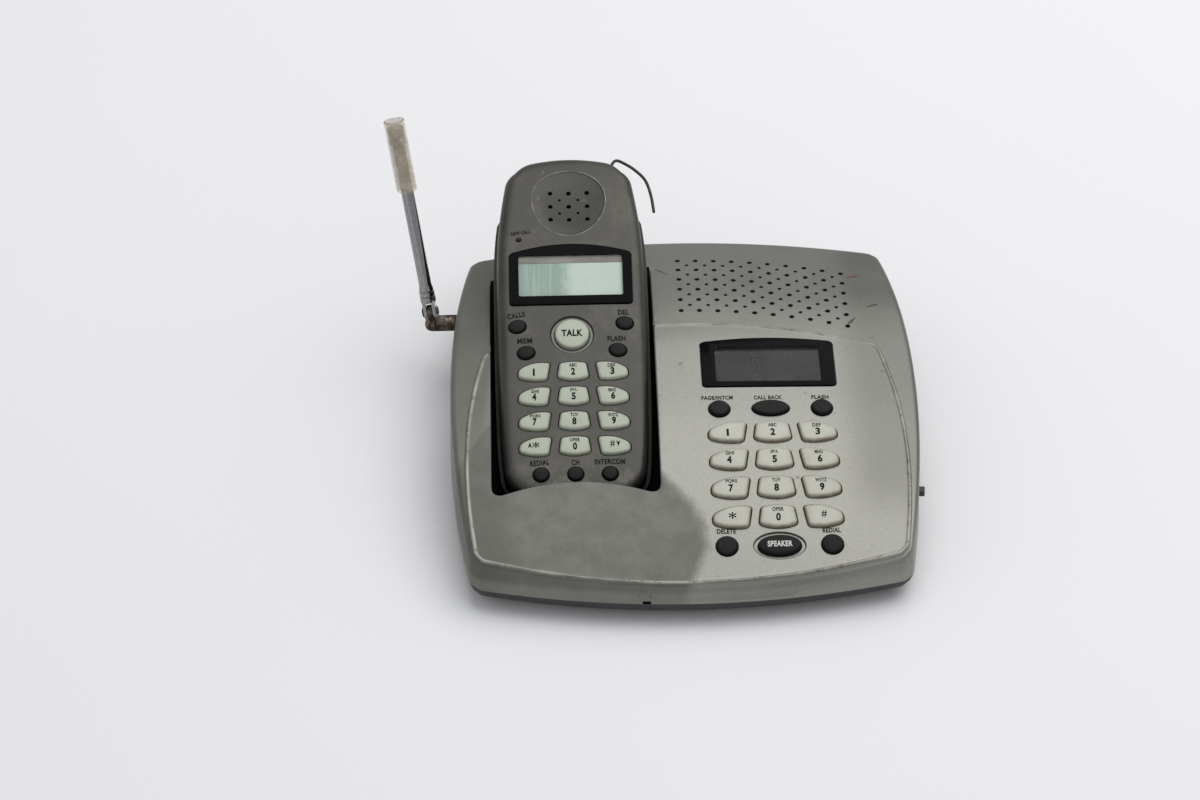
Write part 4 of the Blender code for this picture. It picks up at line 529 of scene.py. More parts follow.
def rough_object(name, bm):
    """An object in its own frame, before it becomes a piece."""
    mesh = bpy.data.meshes.new(name)
    bm.to_mesh(mesh)
    bm.free()
    obj = bpy.data.objects.new(name, mesh)
    workbench.objects.link(obj)
    return obj


def applied(obj):
    """Turns an object's modifiers into its mesh."""
    bpy.context.view_layer.update()
    shaped = obj.evaluated_get(bpy.context.evaluated_depsgraph_get())
    mesh = bpy.data.meshes.new_from_object(shaped)
    obj.modifiers.clear()
    obj.data = mesh
    return obj


def solidify(obj, thickness):
    modifier = obj.modifiers.new("wall", "SOLIDIFY")
    modifier.thickness = thickness
    modifier.offset = -1
    modifier.use_quality_normals = True
    return applied(obj)


def combine(obj, operation, *tools):
    """Joins or cuts with helper bodies, which are used up."""
    for tool in tools:
        modifier = obj.modifiers.new(tool.name, "BOOLEAN")
        modifier.operation = operation
        modifier.solver = "EXACT"
        modifier.object = tool
    applied(obj)
    for tool in tools:
        bpy.data.objects.remove(tool, do_unlink=True)
    return obj


def finished(obj, placed, body, finishes, nodes=(), sharp=30):
    """Bakes a piece into the world's frame, gives it its finishes and lets it ride on its body."""
    obj.data.transform(placed)
    slots = [polygon.material_index for polygon in obj.data.polygons]
    obj.data.materials.clear()
    for finish in finishes if isinstance(finishes, (list, tuple)) else (finishes,):
        obj.data.materials.append(finish)
    obj.data.polygons.foreach_set("material_index", slots)
    obj.data.shade_smooth()
    obj.data.set_sharp_from_angle(angle=sharp * DEGREE)
    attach(obj, body)
    if nodes:
        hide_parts(*nodes)


def piece(name, bm, placed, body, finishes, nodes=()):
    """A piece straight from its mesh, with no cuts."""
    finished(rough_object(name, bm), placed, body, finishes, nodes)


# Materials


class Field:
    """A value or colour that varies over a surface. Arithmetic on it adds math nodes."""

    def __init__(self, graph, socket):
        self.graph, self.socket = graph, socket

    def math(self, operation, other=0.0, clamp=False):
        return self.graph.node("ShaderNodeMath", {0: self, 1: other}, operation=operation, use_clamp=clamp)

    def __add__(self, other):
        return self.math("ADD", other)

    def __sub__(self, other):
        return self.math("SUBTRACT", other)

    def __mul__(self, other):
        return self.math("MULTIPLY", other)

    def __truediv__(self, other):
        return self.math("DIVIDE", other)

    def __pow__(self, other):
        return self.math("POWER", other)

    def __abs__(self):
        return self.math("ABSOLUTE")

    def step(self, low, high, to_low=0.0, to_high=1.0):
        """Smooth step from low to high."""
        values = {"Value": self, "From Min": low, "From Max": high, "To Min": to_low, "To Max": to_high}
        return self.graph.node("ShaderNodeMapRange", values, interpolation_type="SMOOTHSTEP")

    def mix(self, a, b):
        """Colour a where this is 0, and colour b where it is 1."""
        a, b = ((*tone, 1) if isinstance(tone, tuple) else tone for tone in (a, b))
        return self.graph.node("ShaderNodeMix", {0: self, 6: a, 7: b}, 2, data_type="RGBA")


class Graph:
    """A node tree, with its nodes' outputs as fields."""

    def __init__(self, tree):
        self.tree = tree

    def feed(self, target, value):
        if isinstance(value, Field):
            self.tree.links.new(value.socket, target)
        else:
            target.default_value = value

    def node(self, kind, values, output=0, **settings):
        made = self.tree.nodes.new(kind)
        for key, value in settings.items():
            setattr(made, key, value)
        for key, value in values.items():
            self.feed(made.inputs[key], value)
        return Field(self, made.outputs[output])

    def axes(self, place):
        made = self.tree.nodes.new("ShaderNodeSeparateXYZ")
        self.feed(made.inputs[0], place)
        return [Field(self, output) for output in made.outputs]


class Finish(Graph):
    """A procedural material on Principled, with textures placed by the piece's own coordinates."""

    def __init__(self, name, colour, roughness, metallic=0.0, specular=0.5):
        self.material = bpy.data.materials.new(name)
        self.material.use_nodes = True
        super().__init__(self.material.node_tree)
        self.shader = self.tree.nodes["Principled BSDF"]
        self.set("Base Color", (*colour, 1))
        self.set("Roughness", roughness)
        self.set("Metallic", metallic)
        self.set("Specular IOR Level", specular)
        self.place = self.node("ShaderNodeTexCoord", {}, "Object")

    def set(self, socket, value):
        self.feed(self.shader.inputs[socket], value)

    def done(self, tone, roughness, relief=None, depth=0.0):
        """Sets the colour, the roughness and the fine relief, and gives the material."""
        self.set("Base Color", tone)
        self.set("Roughness", roughness)
        if relief:
            self.set("Normal", self.node("ShaderNodeBump", {"Height": relief, "Distance": depth}))
        return self.material

    def noise(self, scale, detail=3.0, rough=0.55, place=None):
        values = {"Vector": place or self.place, "Scale": scale, "Detail": detail, "Roughness": rough}
        return self.node("ShaderNodeTexNoise", values)

    def stretched(self, *scale):
        return self.node("ShaderNodeMapping", {"Vector": self.place, "Scale": scale})

    def within(self, placed, size=(1, 1, 1)):
        """The coordinates in another frame, in units of a size."""
        values = {"Location": placed.translation, "Rotation": placed.to_euler(), "Scale": size}
        return self.node("ShaderNodeMapping", {"Vector": self.place, **values}, vector_type="TEXTURE")


def scaled(colour, share):
    return tuple(part * share for part in colour)


def moulded(name, colour, roughness, grain=1400, depth=0.02, spread=0.18, specular=0.5):
    """Moulded plastic: fine texture, slight cloudiness in its colour and in its gloss."""
    finish = Finish(name, colour, roughness, specular=specular)
    cloud = finish.noise(38, 4)
    tone = cloud.step(0.3, 0.7).mix(scaled(colour, 1 - spread), scaled(colour, 1 + spread))
    dust = finish.noise(900, 2).step(0.62, 0.8) * 0.5
    tone = dust.mix(tone, tuple(part * 0.8 + 0.03 for part in colour))
    gloss = cloud.step(0.25, 0.75, roughness - 0.06, roughness + 0.08)
    return finish.done(tone, gloss, finish.noise(grain, 3), depth * MM)


def flecked(finish, tone, low, high, amount):
    """Metal flake and pigment specks in a paint."""
    speck = finish.noise(2100, 3, 0.75).step(low, high) * amount
    dark = finish.noise(1500, 3, 0.7).step(0.42, 0.28) * (amount * 1.6)
    return dark.mix(speck.mix(tone, (0.70, 0.70, 0.64)), (0.03, 0.03, 0.026))


# Scratches in the base's paint: from, to, half width (mm) and colour
SCRATCHES = (
    ((72.5, 70.5), (78.5, 72.5), 0.9, (0.15, 0.07, 0.035)),
    ((78.5, 48.5), (85.0, 51.0), 0.7, (0.05, 0.045, 0.035)),
    ((70.0, 36.0), (74.5, 42.0), 0.8, (0.05, 0.045, 0.035)),
    ((-10.0, 79.0), (-3.0, 73.0), 0.6, (0.09, 0.085, 0.07)),
)


def scratched(finish, tone):
    """Ragged scratches, each a long soft spot in a frame of its own."""
    ragged = finish.noise(420, 4, 0.7) * 1.3
    for start, end, width, colour in SCRATCHES:
        along = Vector(end) - Vector(start)
        middle = (Vector(start) + Vector(end)).to_3d() * MM / 2 + PHONE.translation
        placed = Matrix.Translation(middle) @ Matrix.Rotation(math.atan2(along.y, along.x), 4, "Z")
        spot = finish.within(placed, (along.length * MM / 2, width * MM, 1))
        reach = finish.node("ShaderNodeVectorMath", {0: spot}, 1, operation="LENGTH")
        tone = ((reach + ragged).step(1.7, 1.2) * 0.9).mix(tone, colour)
    return tone


def silver_paint():
    """Silver-grey paint of the base: stained and matt at its front left, with painted shade at its far left, at its
    right side and at its rear, painted light on its outer wall, and old scratches at its rear right.
    """
    finish = Finish("silver_paint", (0.2, 0.2, 0.185), 0.36, 0.75, 0.35)
    x, y, z = finish.axes(finish.within(PHONE))
    cloud = finish.noise(16, 5, 0.6)
    clean = cloud.step(0.3, 0.72).mix((0.205, 0.205, 0.184), (0.250, 0.249, 0.224))
    clean = flecked(finish, clean, 0.56, 0.74, 0.30)
    shaded = x.step(56 * MM, 78 * MM, 0, 0.40) * y.step(-80 * MM, -45 * MM)
    shaded = shaded.math("MAXIMUM", y.step(22 * MM, 36 * MM, 0, 0.21))
    clean = shaded.mix(clean, (0.05, 0.05, 0.044))
    # The stain lies left of a ragged parabola and in front of a slanting line
    ragged = (finish.noise(60, 5, 0.62) - 0.5) * (14 * MM)
    bend = abs((y + 76 * MM) / (40 * MM)) ** 2.0
    border = bend * (-29 * MM) + 6.5 * MM + ragged
    slant = (x + 81.7 * MM) * 1.66 - 21 * MM + ragged
    stain = (border - x).step(-2.0 * MM, 4.5 * MM) * (slant - y).step(-2.0 * MM, 3.0 * MM)
    # Painted shade: the paint is darker towards the far left, and this shade is mixed in with the stain
    left_shade = x.step(-66 * MM, -82 * MM)
    stain_and_left_shade = (stain * 0.86).math("MAXIMUM", left_shade * 0.66)
    mottled = finish.noise(120, 4, 0.6).step(0.3, 0.7).mix((0.105, 0.104, 0.088), (0.142, 0.141, 0.122))
    mottled = (left_shade * 0.55).mix(mottled, (0.06, 0.06, 0.052))
    tone = stain_and_left_shade.mix(clean, flecked(finish, mottled, 0.6, 0.8, 0.1))
    # Painted light: the outer wall below the deck's edge is painted paler
    tone = z.step(16 * MM, 13 * MM, 0, 0.2).mix(tone, (0.42, 0.41, 0.37))
    spots = finish.noise(210, 3, 0.5).step(0.70, 0.76) * 0.5
    tone = scratched(finish, spots.mix(tone, (0.09, 0.075, 0.055)))
    finish.set("Metallic", stain_and_left_shade.step(0, 1, 0.75, 0.3))
    rubbed = cloud.step(0.3, 0.7, 0.32, 0.42) + stain_and_left_shade * 0.12
    return finish.done(tone, rubbed, finish.noise(2600, 2), 0.014 * MM)


def worn_bead():
    """The bead round the key panel: paint rubbed pale, with some brown grime."""
    finish = Finish("worn_bead", (0.3, 0.3, 0.27), 0.38, 0.55)
    patch = finish.noise(45, 4, 0.6)
    tone = patch.step(0.35, 0.65).mix((0.16, 0.156, 0.138), (0.32, 0.312, 0.276))
    grime = finish.noise(300, 4, 0.65).step(0.56, 0.66) * 0.7
    return finish.done(grime.mix(tone, (0.10, 0.075, 0.05)), patch.step(0.3, 0.7, 0.34, 0.5))


def gunmetal_paint(name, shade, fleck):
    """Dark grey paint of the handset: worn pale at the earpiece's rim and lower end, with painted shade in the lower
    part of the earpiece's hollow and a near black painted shade on its sides low down, where they sit in the pocket.
    """
    finish = Finish(name, (shade, shade, shade * 0.92), 0.4, 0.62, 0.3)
    cloud = finish.noise(24, 5, 0.6)
    low, high = shade * 0.84, shade * 1.17
    tone = cloud.step(0.3, 0.72).mix((low, low * 0.98, low * 0.88), (high, high * 0.97, high * 0.87))
    tone = flecked(finish, tone, 0.6, 0.8, fleck)
    rub = finish.noise(42, 6, 0.72).step(0.47, 0.68, 0, 0.42)
    tone = rub.mix(tone, (shade * 1.85, shade * 1.7, shade * 1.38))
    spots = finish.noise(260, 3, 0.5).step(0.70, 0.76) * 0.35
    tone = spots.mix(tone, (0.17, 0.165, 0.14))
    x, y, z = finish.axes(finish.within(HANDSET))
    rubbed = finish.noise(95, 5, 0.7).step(0.50, 0.66) * 0.35 * y.step(-16 * MM, -36 * MM)
    tone = rubbed.mix(tone, (0.22, 0.20, 0.17))
    # Painted shade: the sides are painted near black where they sit in the pocket
    side = z.step(-2.2 * MM, -6.5 * MM) * y.step(75 * MM, 40 * MM, 0, 0.88)
    # Reach from the earpiece's middle, 1 at its egg-shaped rim
    y = (y - EARPIECE_Y) / EARPIECE_HALF[1]
    x = x / ((y * EARPIECE_EGG + 1.0) * EARPIECE_HALF[0])
    out = (x**2.0 + y**2.0).math("SQRT")
    # Painted shade: the earpiece's hollow is painted darker towards its lower part
    bowl_shade = out.step(0.99, 0.60) * y.step(0.85, -0.35, 0, 0.42)
    tone = bowl_shade.mix(tone, scaled((shade, shade, shade), 0.3))
    worn = abs(out - 1.01).step(0.020, 0.004) * finish.noise(150, 4, 0.65).step(0.36, 0.66, 0.1, 0.7)
    tone = side.mix(worn.mix(tone, (0.26, 0.25, 0.215)), (0.006, 0.006, 0.005))
    return finish.done(tone, cloud.step(0.3, 0.7, 0.36, 0.48), finish.noise(2600, 2), 0.012 * MM)


def key_plastic(name, clean, grime, strength):
    """Key plastic with grime that has gathered round the rim of each key."""
    finish = Finish(name, clean, 0.42)
    edge = finish.node("ShaderNodeAttribute", {}, 2, attribute_name="rim")
    patch = finish.noise(240, 4, 0.62)
    gathered = edge * patch.step(0.28, 0.62, 0.35, 1.15)
    film = finish.noise(90, 3).step(0.4, 0.75) * 0.16
    tone = (gathered + film).math("MULTIPLY", strength, clamp=True).mix(clean, grime)
    specks = finish.noise(1500, 2).step(0.68, 0.76) * 0.45
    tone = specks.mix(tone, scaled(grime, 0.55))
    return finish.done(tone, patch.step(0.3, 0.7, 0.36, 0.52), finish.noise(2200, 2), 0.008 * MM)


def ink(name, colour, worn, amount):
    """Print that has worn thin in small patches."""
    finish = Finish(name, colour, 0.6, 0.0, 0.06)
    share = finish.noise(1900, 3, 0.6).step(0.5, 0.68) * amount
    return finish.done(share.mix(colour, worn), finish.noise(700, 2).step(0.3, 0.7, 0.42, 0.6))


def dark_gloss():
    """The black printed frame of a display, with haze and dust on it."""
    finish = Finish("bezel_gloss", (0.006, 0.006, 0.007), 0.12, 0.0, 0.03)
    haze = finish.noise(55, 4, 0.6)
    film = haze.step(0.35, 0.75).mix((0.002, 0.002, 0.0025), (0.004, 0.004, 0.0045))
    dust = finish.noise(2400, 2).step(0.66, 0.74) * 0.35
    return finish.done(dust.mix(film, (0.04, 0.039, 0.035)), haze.step(0.3, 0.7, 0.08, 0.26))


def clear_pane():
    """Clear cover of a display: little more than its dust shows."""
    finish = Finish("clear_pane", (0.42, 0.42, 0.40), 0.06)
    dust = finish.noise(1500, 3, 0.6).step(0.60, 0.76)
    haze = finish.noise(70, 4).step(0.35, 0.75)
    finish.set("Roughness", haze.step(0, 1, 0.05, 0.16))
    finish.set("Alpha", (dust * 0.14 + haze * 0.01).math("ADD", 0.012, clamp=True))
    return finish.material


def display_film(name, low, high, reflection_streak, lines, spot):
    """A blank liquid crystal display: a pale film with faint rows, painted lighter at its right and with faint
    bright stripes across it, both a painted reflection.
    """
    finish = Finish(name, low, 0.3, 0.0, 0.2)
    x = finish.axes(finish.within(spot))[0]
    drawn = finish.noise(1, 3, 0.6, finish.stretched(900, 40, 40))
    blotch = (finish.noise(190, 4, 0.6) - 0.5) * (7 * MM)
    # Painted reflection: the right part takes the lighter tone, and bright stripes run across the film
    tone = (x + blotch).step(-5 * MM, 2 * MM).mix(low, high)
    tone = (drawn.step(0.45, 0.7) * reflection_streak).mix(tone, high)
    rows = finish.noise(1, 1, 0.5, finish.stretched(200, 2400, 200))
    tone = (rows * lines).mix(tone, scaled(low, 0.72))
    return finish.done(tone, blotch.step(-2 * MM, 2 * MM, 0.24, 0.4))


def chrome():
    """Drawn, chromed tube with small rust pits."""
    finish = Finish("chrome_tube", (0.38, 0.38, 0.39), 0.1, 1.0)
    drawn = finish.noise(1, 3, 0.6, finish.stretched(2600, 2600, 60))
    pits = finish.noise(900, 3, 0.6).step(0.66, 0.74)
    tone = drawn.step(0.3, 0.7).mix((0.24, 0.24, 0.245), (0.34, 0.34, 0.345))
    finish.set("Metallic", pits.step(0, 1, 1.0, 0.5))
    return finish.done((pits * 0.6).mix(tone, (0.12, 0.09, 0.06)), drawn.step(0.3, 0.7, 0.05, 0.14))


def rusty_steel():
    finish = Finish("rusty_steel", (0.12, 0.08, 0.05), 0.55, 0.6, 0.25)
    patch = finish.noise(260, 6, 0.66)
    fine = finish.noise(1500, 4, 0.6)
    rust = patch.step(0.34, 0.56)
    brown = fine.step(0.35, 0.65).mix((0.022, 0.012, 0.006), (0.085, 0.045, 0.022))
    steel = fine.step(0.3, 0.7).mix((0.13, 0.115, 0.095), (0.25, 0.225, 0.185))
    finish.set("Metallic", rust.step(0, 1, 0.9, 0.2))
    return finish.done(rust.mix(steel, brown), rust.step(0, 1, 0.32, 0.75), patch + fine * 0.4, 0.12 * MM)


def sleeve_plastic():
    """Yellowed clear sleeve, cloudy and scuffed."""
    finish = Finish("yellowed_sleeve", (0.62, 0.52, 0.38), 0.3)
    cloud = finish.noise(160, 4, 0.6)
    tone = cloud.step(0.3, 0.7).mix((0.60, 0.50, 0.36), (0.70, 0.62, 0.50))
    scuffs = finish.noise(700, 4, 0.62).step(0.62, 0.70)
    tone = (scuffs * 0.5).mix(tone, (0.24, 0.19, 0.13))
    finish.set("Alpha", cloud.step(0.3, 0.7, 0.26, 0.40).math("ADD", scuffs * 0.25, clamp=True))
    return finish.done(tone, cloud.step(0.3, 0.7, 0.22, 0.38))


def plain_metal(name, colour, roughness):
    finish = Finish(name, colour, roughness, 1.0)
    wear = finish.noise(600, 4, 0.6)
    tone = wear.step(0.4, 0.7).mix(colour, scaled(colour, 0.62))
    return finish.done(tone, wear.step(0.3, 0.7, roughness, roughness + 0.2))


def circuit_green():
    finish = Finish("circuit_green", (0.02, 0.12, 0.05), 0.4)
    track = finish.node("ShaderNodeTexVoronoi", {"Vector": finish.place, "Scale": 260.0}, feature="F1")
    return finish.done(track.step(0.35, 0.5).mix((0.018, 0.13, 0.05), (0.05, 0.22, 0.09)), 0.4, track, 0.05 * MM)


SILVER = silver_paint()
BEAD = worn_bead()
GUNMETAL = gunmetal_paint("gunmetal_paint", 0.060, 0.11)
# Painted shade: a darker copy of the handset's paint for its back shell and battery cover, which sit in the pocket's
# shade
SHADED_GUNMETAL = gunmetal_paint("shaded_gunmetal_paint", 0.026, 0.04)
CHARCOAL = moulded("charcoal_plastic", (0.028, 0.028, 0.029), 0.5)
# Painted shade: near black for the pocket's walls and floor, in place of the shade in the gap round the handset
POCKET_SHADE = moulded("pocket_shade_black", (0.004, 0.004, 0.004), 0.7, spread=0.1, specular=0.05)
RUBBER = moulded("button_rubber", (0.012, 0.0115, 0.0115), 0.5, 2400, 0.008, specular=0.12)
FOOT_RUBBER = moulded("foot_rubber", (0.022, 0.022, 0.022), 0.8, grain=900, depth=0.05)
BLACK_PLASTIC = moulded("black_plastic", (0.012, 0.012, 0.013), 0.45)
MASK = moulded("display_mask", (0.21, 0.20, 0.18), 0.4, 500, 0.004, 0.35, 0.2)
RING_PLASTIC = moulded("talk_ring_plastic", (0.20, 0.20, 0.18), 0.4)
BEIGE_KEY = key_plastic("beige_key", (0.465, 0.465, 0.395), (0.20, 0.155, 0.10), 0.9)
WHITE_KEY = key_plastic("white_key", (0.405, 0.445, 0.355), (0.22, 0.21, 0.16), 0.55)
DARK_INK = ink("dark_ink", (0.008, 0.008, 0.008), (0.07, 0.068, 0.062), 0.3)
PALE_INK = ink("pale_ink", (0.62, 0.63, 0.58), (0.25, 0.25, 0.23), 0.6)
GLOSS = dark_gloss()
PANE = clear_pane()
CHROME = chrome()
RUST = rusty_steel()
SLEEVE = sleeve_plastic()
SLEEVE_RIM = moulded("sleeve_rim", (0.20, 0.155, 0.10), 0.4, 900, 0.01)
NICKEL = plain_metal("nickel", (0.62, 0.60, 0.55), 0.25)
GOLD = plain_metal("gilt_contact", (0.75, 0.56, 0.25), 0.22)
STEEL = plain_metal("screw_steel", (0.36, 0.36, 0.37), 0.34)
WIRE_BLACK = moulded("wire_black", (0.018, 0.018, 0.018), 0.45, grain=2000)
BOARD_GREEN = circuit_green()
CONE_BLACK = moulded("speaker_cone", (0.016, 0.016, 0.016), 0.8, grain=600, depth=0.1)
CELL_WRAP = moulded("cell_wrap", (0.06, 0.13, 0.30), 0.35)
LAMP_RED = moulded("lamp_lens", (0.016, 0.007, 0.006), 0.35, depth=0.004, specular=0.15)


# Lettering


def lettering(bm, words, size, centre, height, placed=Matrix(), turn=0.0, weight=0.0, slot=1):
    """Adds raised print of a given width and height. The height function gives the surface under it."""
    curve = bpy.data.curves.new("print", "FONT")
    curve.body = words
    curve.extrude = 0.05
    curve.offset = weight
    curve.space_character = 1.09
    curve.resolution_u = 4
    obj = bpy.data.objects.new("print", curve)
    workbench.objects.link(obj)
    bpy.context.view_layer.update()
    mesh = bpy.data.meshes.new_from_object(obj.evaluated_get(bpy.context.evaluated_depsgraph_get()))
    bpy.data.objects.remove(obj, do_unlink=True)
    corners = [vert.co for vert in mesh.vertices]
    low = Vector([min(corner[k] for corner in corners) for k in range(2)])
    high = Vector([max(corner[k] for corner in corners) for k in range(2)])
    middle, span = (low + high) / 2, high - low
    rotation = Matrix.Rotation(turn, 2)
    made = []
    for corner in corners:
        flat = Vector(((corner.x - middle.x) * size[0] / span.x, (corner.y - middle.y) * size[1] / span.y))
        flat = rotation @ flat
        point = placed @ Vector((flat.x + centre[0], flat.y + centre[1], 0))
        lift = PRINT_RISE if corner.z > 0 else PRINT_ROOT
        made.append(bm.verts.new((point.x, point.y, height(point.x, point.y) + lift)))
    for polygon in mesh.polygons:
        face = bm.faces.new([made[k] for k in polygon.vertices])
        face.material_index = slot
    bpy.data.meshes.remove(mesh)


# Keys and buttons


def cap_mesh(shape, rise, wall, rounding, crown, half):
    """A key cap: a flared foot under the shell, a rounded rim and a domed top."""

    def top(x, y):
        return rise - crown * ((x / half[0]) ** 2 + (y / half[1]) ** 2)

    seat = -wall - FLANGE_CLEARANCE
    wide = grown(shape, KEY_FLANGE)
    rings = [level(wide, seat - FLANGE_THICKNESS), level(wide, seat - 0.1 * MM), level(shape, seat)]
    rings.append([Vector((x, y, top(x, y) - rounding - 0.1 * MM)) for x, y in shape])
    rims = [0.0, 0.0, 0.0, 0.55]
    steps = 7
    for k in range(steps + 1):
        angle = k / steps * math.pi / 2
        inner = grown(shape, -rounding * (1 - math.cos(angle)) * 0.9)
        drop = rounding * (1 - math.sin(angle))
        rings.append([Vector((x, y, top(x, y) - drop)) for x, y in inner])
        rims.append(1 - 0.8 * k / steps)
    last = rings[-1]
    centre = sum((Vector((point.x, point.y)) for point in last), Vector((0, 0))) / len(last)
    for share, rim in ((0.92, 0.1), (0.8, 0.04), (0.6, 0.0), (0.4, 0.0), (0.2, 0.0), (0.06, 0.0)):
        ring = []
        for point in last:
            flat = centre.lerp(Vector((point.x, point.y)), share)
            ring.append(Vector((flat.x, flat.y, top(flat.x, flat.y))))
        rings.append(ring)
        rims.append(rim)
    bm = bmesh.new()
    loft(bm, rings)
    layer = bm.verts.layers.float.new("rim")
    bm.verts.ensure_lookup_table()
    count = len(shape)
    for k, vert in enumerate(bm.verts):
        vert[layer] = rims[min(k // count, len(rims) - 1)]
    return bm, top


DIGITS = ("1", "2", "3", "4", "5", "6", "7", "8", "9", "*", "0", "#")
LETTERS = ("", "ABC", "DEF", "GHI", "JKL", "MNO", "PQRS", "TUV", "WXYZ", "", "OPER", "")
NAMES = ("1", "2", "3", "4", "5", "6", "7", "8", "9", "star", "0", "hash")
ARROWHEAD = ((-1, -1), (0, -0.4), (1, -1), (0, 1))
BASE_KEYPAD = (KEYPAD_X, KEYPAD_Y), (KEY_PITCH_X, KEY_PITCH_Y), KEY_SIZE
HANDSET_KEYPAD = (0, HANDSET_KEYPAD_Y), (HANDSET_PITCH_X, HANDSET_PITCH_Y), HANDSET_KEY_SIZE


def arrowhead(bm, x, y, up, top):
    """Adds a printed arrowhead that points up (1) or down (-1) a key."""
    shape = [(x + across * 0.9 * MM, y + up * along * 1.5 * MM) for across, along in ARROWHEAD]
    if up < 0:
        shape.reverse()
    rings = [[Vector((a, b, top(a, b) + lift)) for a, b in shape] for lift in (PRINT_ROOT, PRINT_RISE)]
    for face in loft(bm, rings):
        face.material_index = 1


def keys_of(middle, pitch, size):
    """Column, outline and place of each of a keypad's twelve keys."""
    for index in range(12):
        row, column = divmod(index, 3)
        x, y = middle[0] + (column - 1) * pitch[0], middle[1] + (1.5 - row) * pitch[1]
        yield column, key_outline(column, size), x, y


def keypad(prefix, keys, rise, wall, surface, placed, finish, digit, letter):
    """The twelve keys of a keypad, with their digits and letters."""
    height, width, low = digit
    high, each, place = letter
    half = (keys[2][0] / 2, keys[2][1] / 2)
    for name, digits, letters, (column, shape, x, y) in zip(NAMES, DIGITS, LETTERS, keys_of(*keys)):
        bm, top = cap_mesh(shape, rise, wall, KEY_ROUNDING, KEY_CROWN, half)
        mid = (1 - column) * -0.2 * MM
        if name in ("star", "hash"):
            aside = ((1 - column) * 0.6 - 0.3) * MM if prefix == "handset" else 0.0
            size = (width * (1.6 if name == "star" else 1.15), height * 0.9)
            lettering(bm, digits, size, (mid + aside, low + MM), top, weight=0.012)
            if prefix == "handset":
                arrowhead(bm, ((column - 1) * 2.0 - 0.35) * MM, low + MM, 1 - column, top)
        else:
            size = (width * (0.5 if name == "1" else 1.0), height)
            lettering(bm, digits, size, (mid, low), top, weight=0.045)
        if letters:
            spot = (mid - (column - 1) * 0.3 * MM, place - (column != 1) * 0.35 * MM)
            lettering(bm, letters, (each * len(letters), high), spot, top, weight=0.032)
        node = f"{prefix}_key_{name}"
        piece(f"{node}_cap", bm, placed @ surface_frame(surface, x, y), node, (finish, DARK_INK), [node])


def button(node, shape, half, x, y, rise, wall, surface, placed, finish, words=None, turn=0.0):
    """One rubber or plastic button, with a word on it where it has one."""
    bm, top = cap_mesh(shape, rise, wall, BUTTON_ROUNDING, BUTTON_CROWN, half)
    inked = finish
    if words:
        text, size, inked = words
        lettering(bm, text, size, (0, 0), top, weight=0.04)
    piece(f"{node}_cap", bm, placed @ surface_frame(surface, x, y, turn), node, (finish, inked), [node])


def make_base_buttons():
    wall = BASE_WALL + PANEL_RAISE
    print_sizes = (3.6 * MM, 1.9 * MM, -0.9 * MM), (1.9 * MM, 1.15 * MM, 2.75 * MM)
    keypad("base", BASE_KEYPAD, KEY_RISE, wall, panel_height, PHONE, BEIGE_KEY, *print_sizes)
    half = (ROUND_BUTTON_RADIUS, ROUND_BUTTON_RADIUS)
    for node, side, y in (
        ("base_page_button", -1, UPPER_ROW_Y),
        ("base_flash_button", 1, UPPER_ROW_Y),
        ("base_delete_button", -1, LOWER_ROW_Y),
        ("base_redial_button", 1, LOWER_ROW_Y),
    ):
        x = KEYPAD_X + side * ROUND_BUTTON_PITCH
        button(node, oval(*half), half, x, y, KEY_RISE, wall, panel_height, PHONE, RUBBER)
    for node, half, y, words in (
        ("base_call_back_button", CALL_BACK_HALF, UPPER_ROW_Y, None),
        ("base_speaker_button", SPEAKER_HALF, LOWER_ROW_Y, ("SPEAKER", (9.9 * MM, 2.6 * MM), PALE_INK)),
    ):
        shape = oval(*half)
        button(node, shape, half, KEYPAD_X, y, KEY_RISE, wall, panel_height, PHONE, RUBBER, words)


UPPER_BUTTONS = (
    ("handset_calls_button", -22.6 * MM, 42.8 * MM, 12 * DEGREE),
    ("handset_memory_button", -19.2 * MM, 29.8 * MM, 12 * DEGREE),
    ("handset_delete_button", 22.0 * MM, 43.6 * MM, -12 * DEGREE),
    ("handset_flash_button", 18.8 * MM, 30.4 * MM, -12 * DEGREE),
)


def make_handset_buttons():
    small = (HANDSET_KEY_RISE, HANDSET_WALL, face_height, HANDSET, RUBBER)
    print_sizes = (3.4 * MM, 1.7 * MM, -0.7 * MM), (1.75 * MM, 1.05 * MM, 2.35 * MM)
    keypad("handset", HANDSET_KEYPAD, *small[:4], WHITE_KEY, *print_sizes)
    for node, x, y, turn in UPPER_BUTTONS:
        button(node, oval(*SMALL_BUTTON_HALF, 40), SMALL_BUTTON_HALF, x, y, *small, None, turn)
    half = (BOTTOM_BUTTON_RADIUS, BOTTOM_BUTTON_RADIUS)
    for k, name in enumerate(("redial", "channel", "intercom")):
        x = (k - 1) * BOTTOM_ROW_PITCH
        button(f"handset_{name}_button", oval(*half, 40), half, x, BOTTOM_ROW_Y, *small)
    half = (TALK_RADIUS, TALK_RADIUS)
    words = ("TALK", (8.8 * MM, 3.3 * MM), DARK_INK)
    shape = oval(*half, 60)
    button("handset_talk_button", shape, half, 0, TALK_Y, *small[:4], WHITE_KEY, words)


# Base shells

CORNERS = (CORNER_RADIUS, CORNER_RADIUS)
RIM = Plan(RIM_FRONT, RIM_REAR, RIM_HALF_WIDTH, FRONT_BOW, REAR_BOW, RIM_SIDE_BOW, CORNERS)
EDGE = Plan(EDGE_FRONT, EDGE_REAR, EDGE_HALF_WIDTH, FRONT_BOW, REAR_BOW, EDGE_SIDE_BOW, CORNERS)
BASE_ACROSS, BASE_ALONG = RIM.across(44, 6), RIM.along(50, 6)


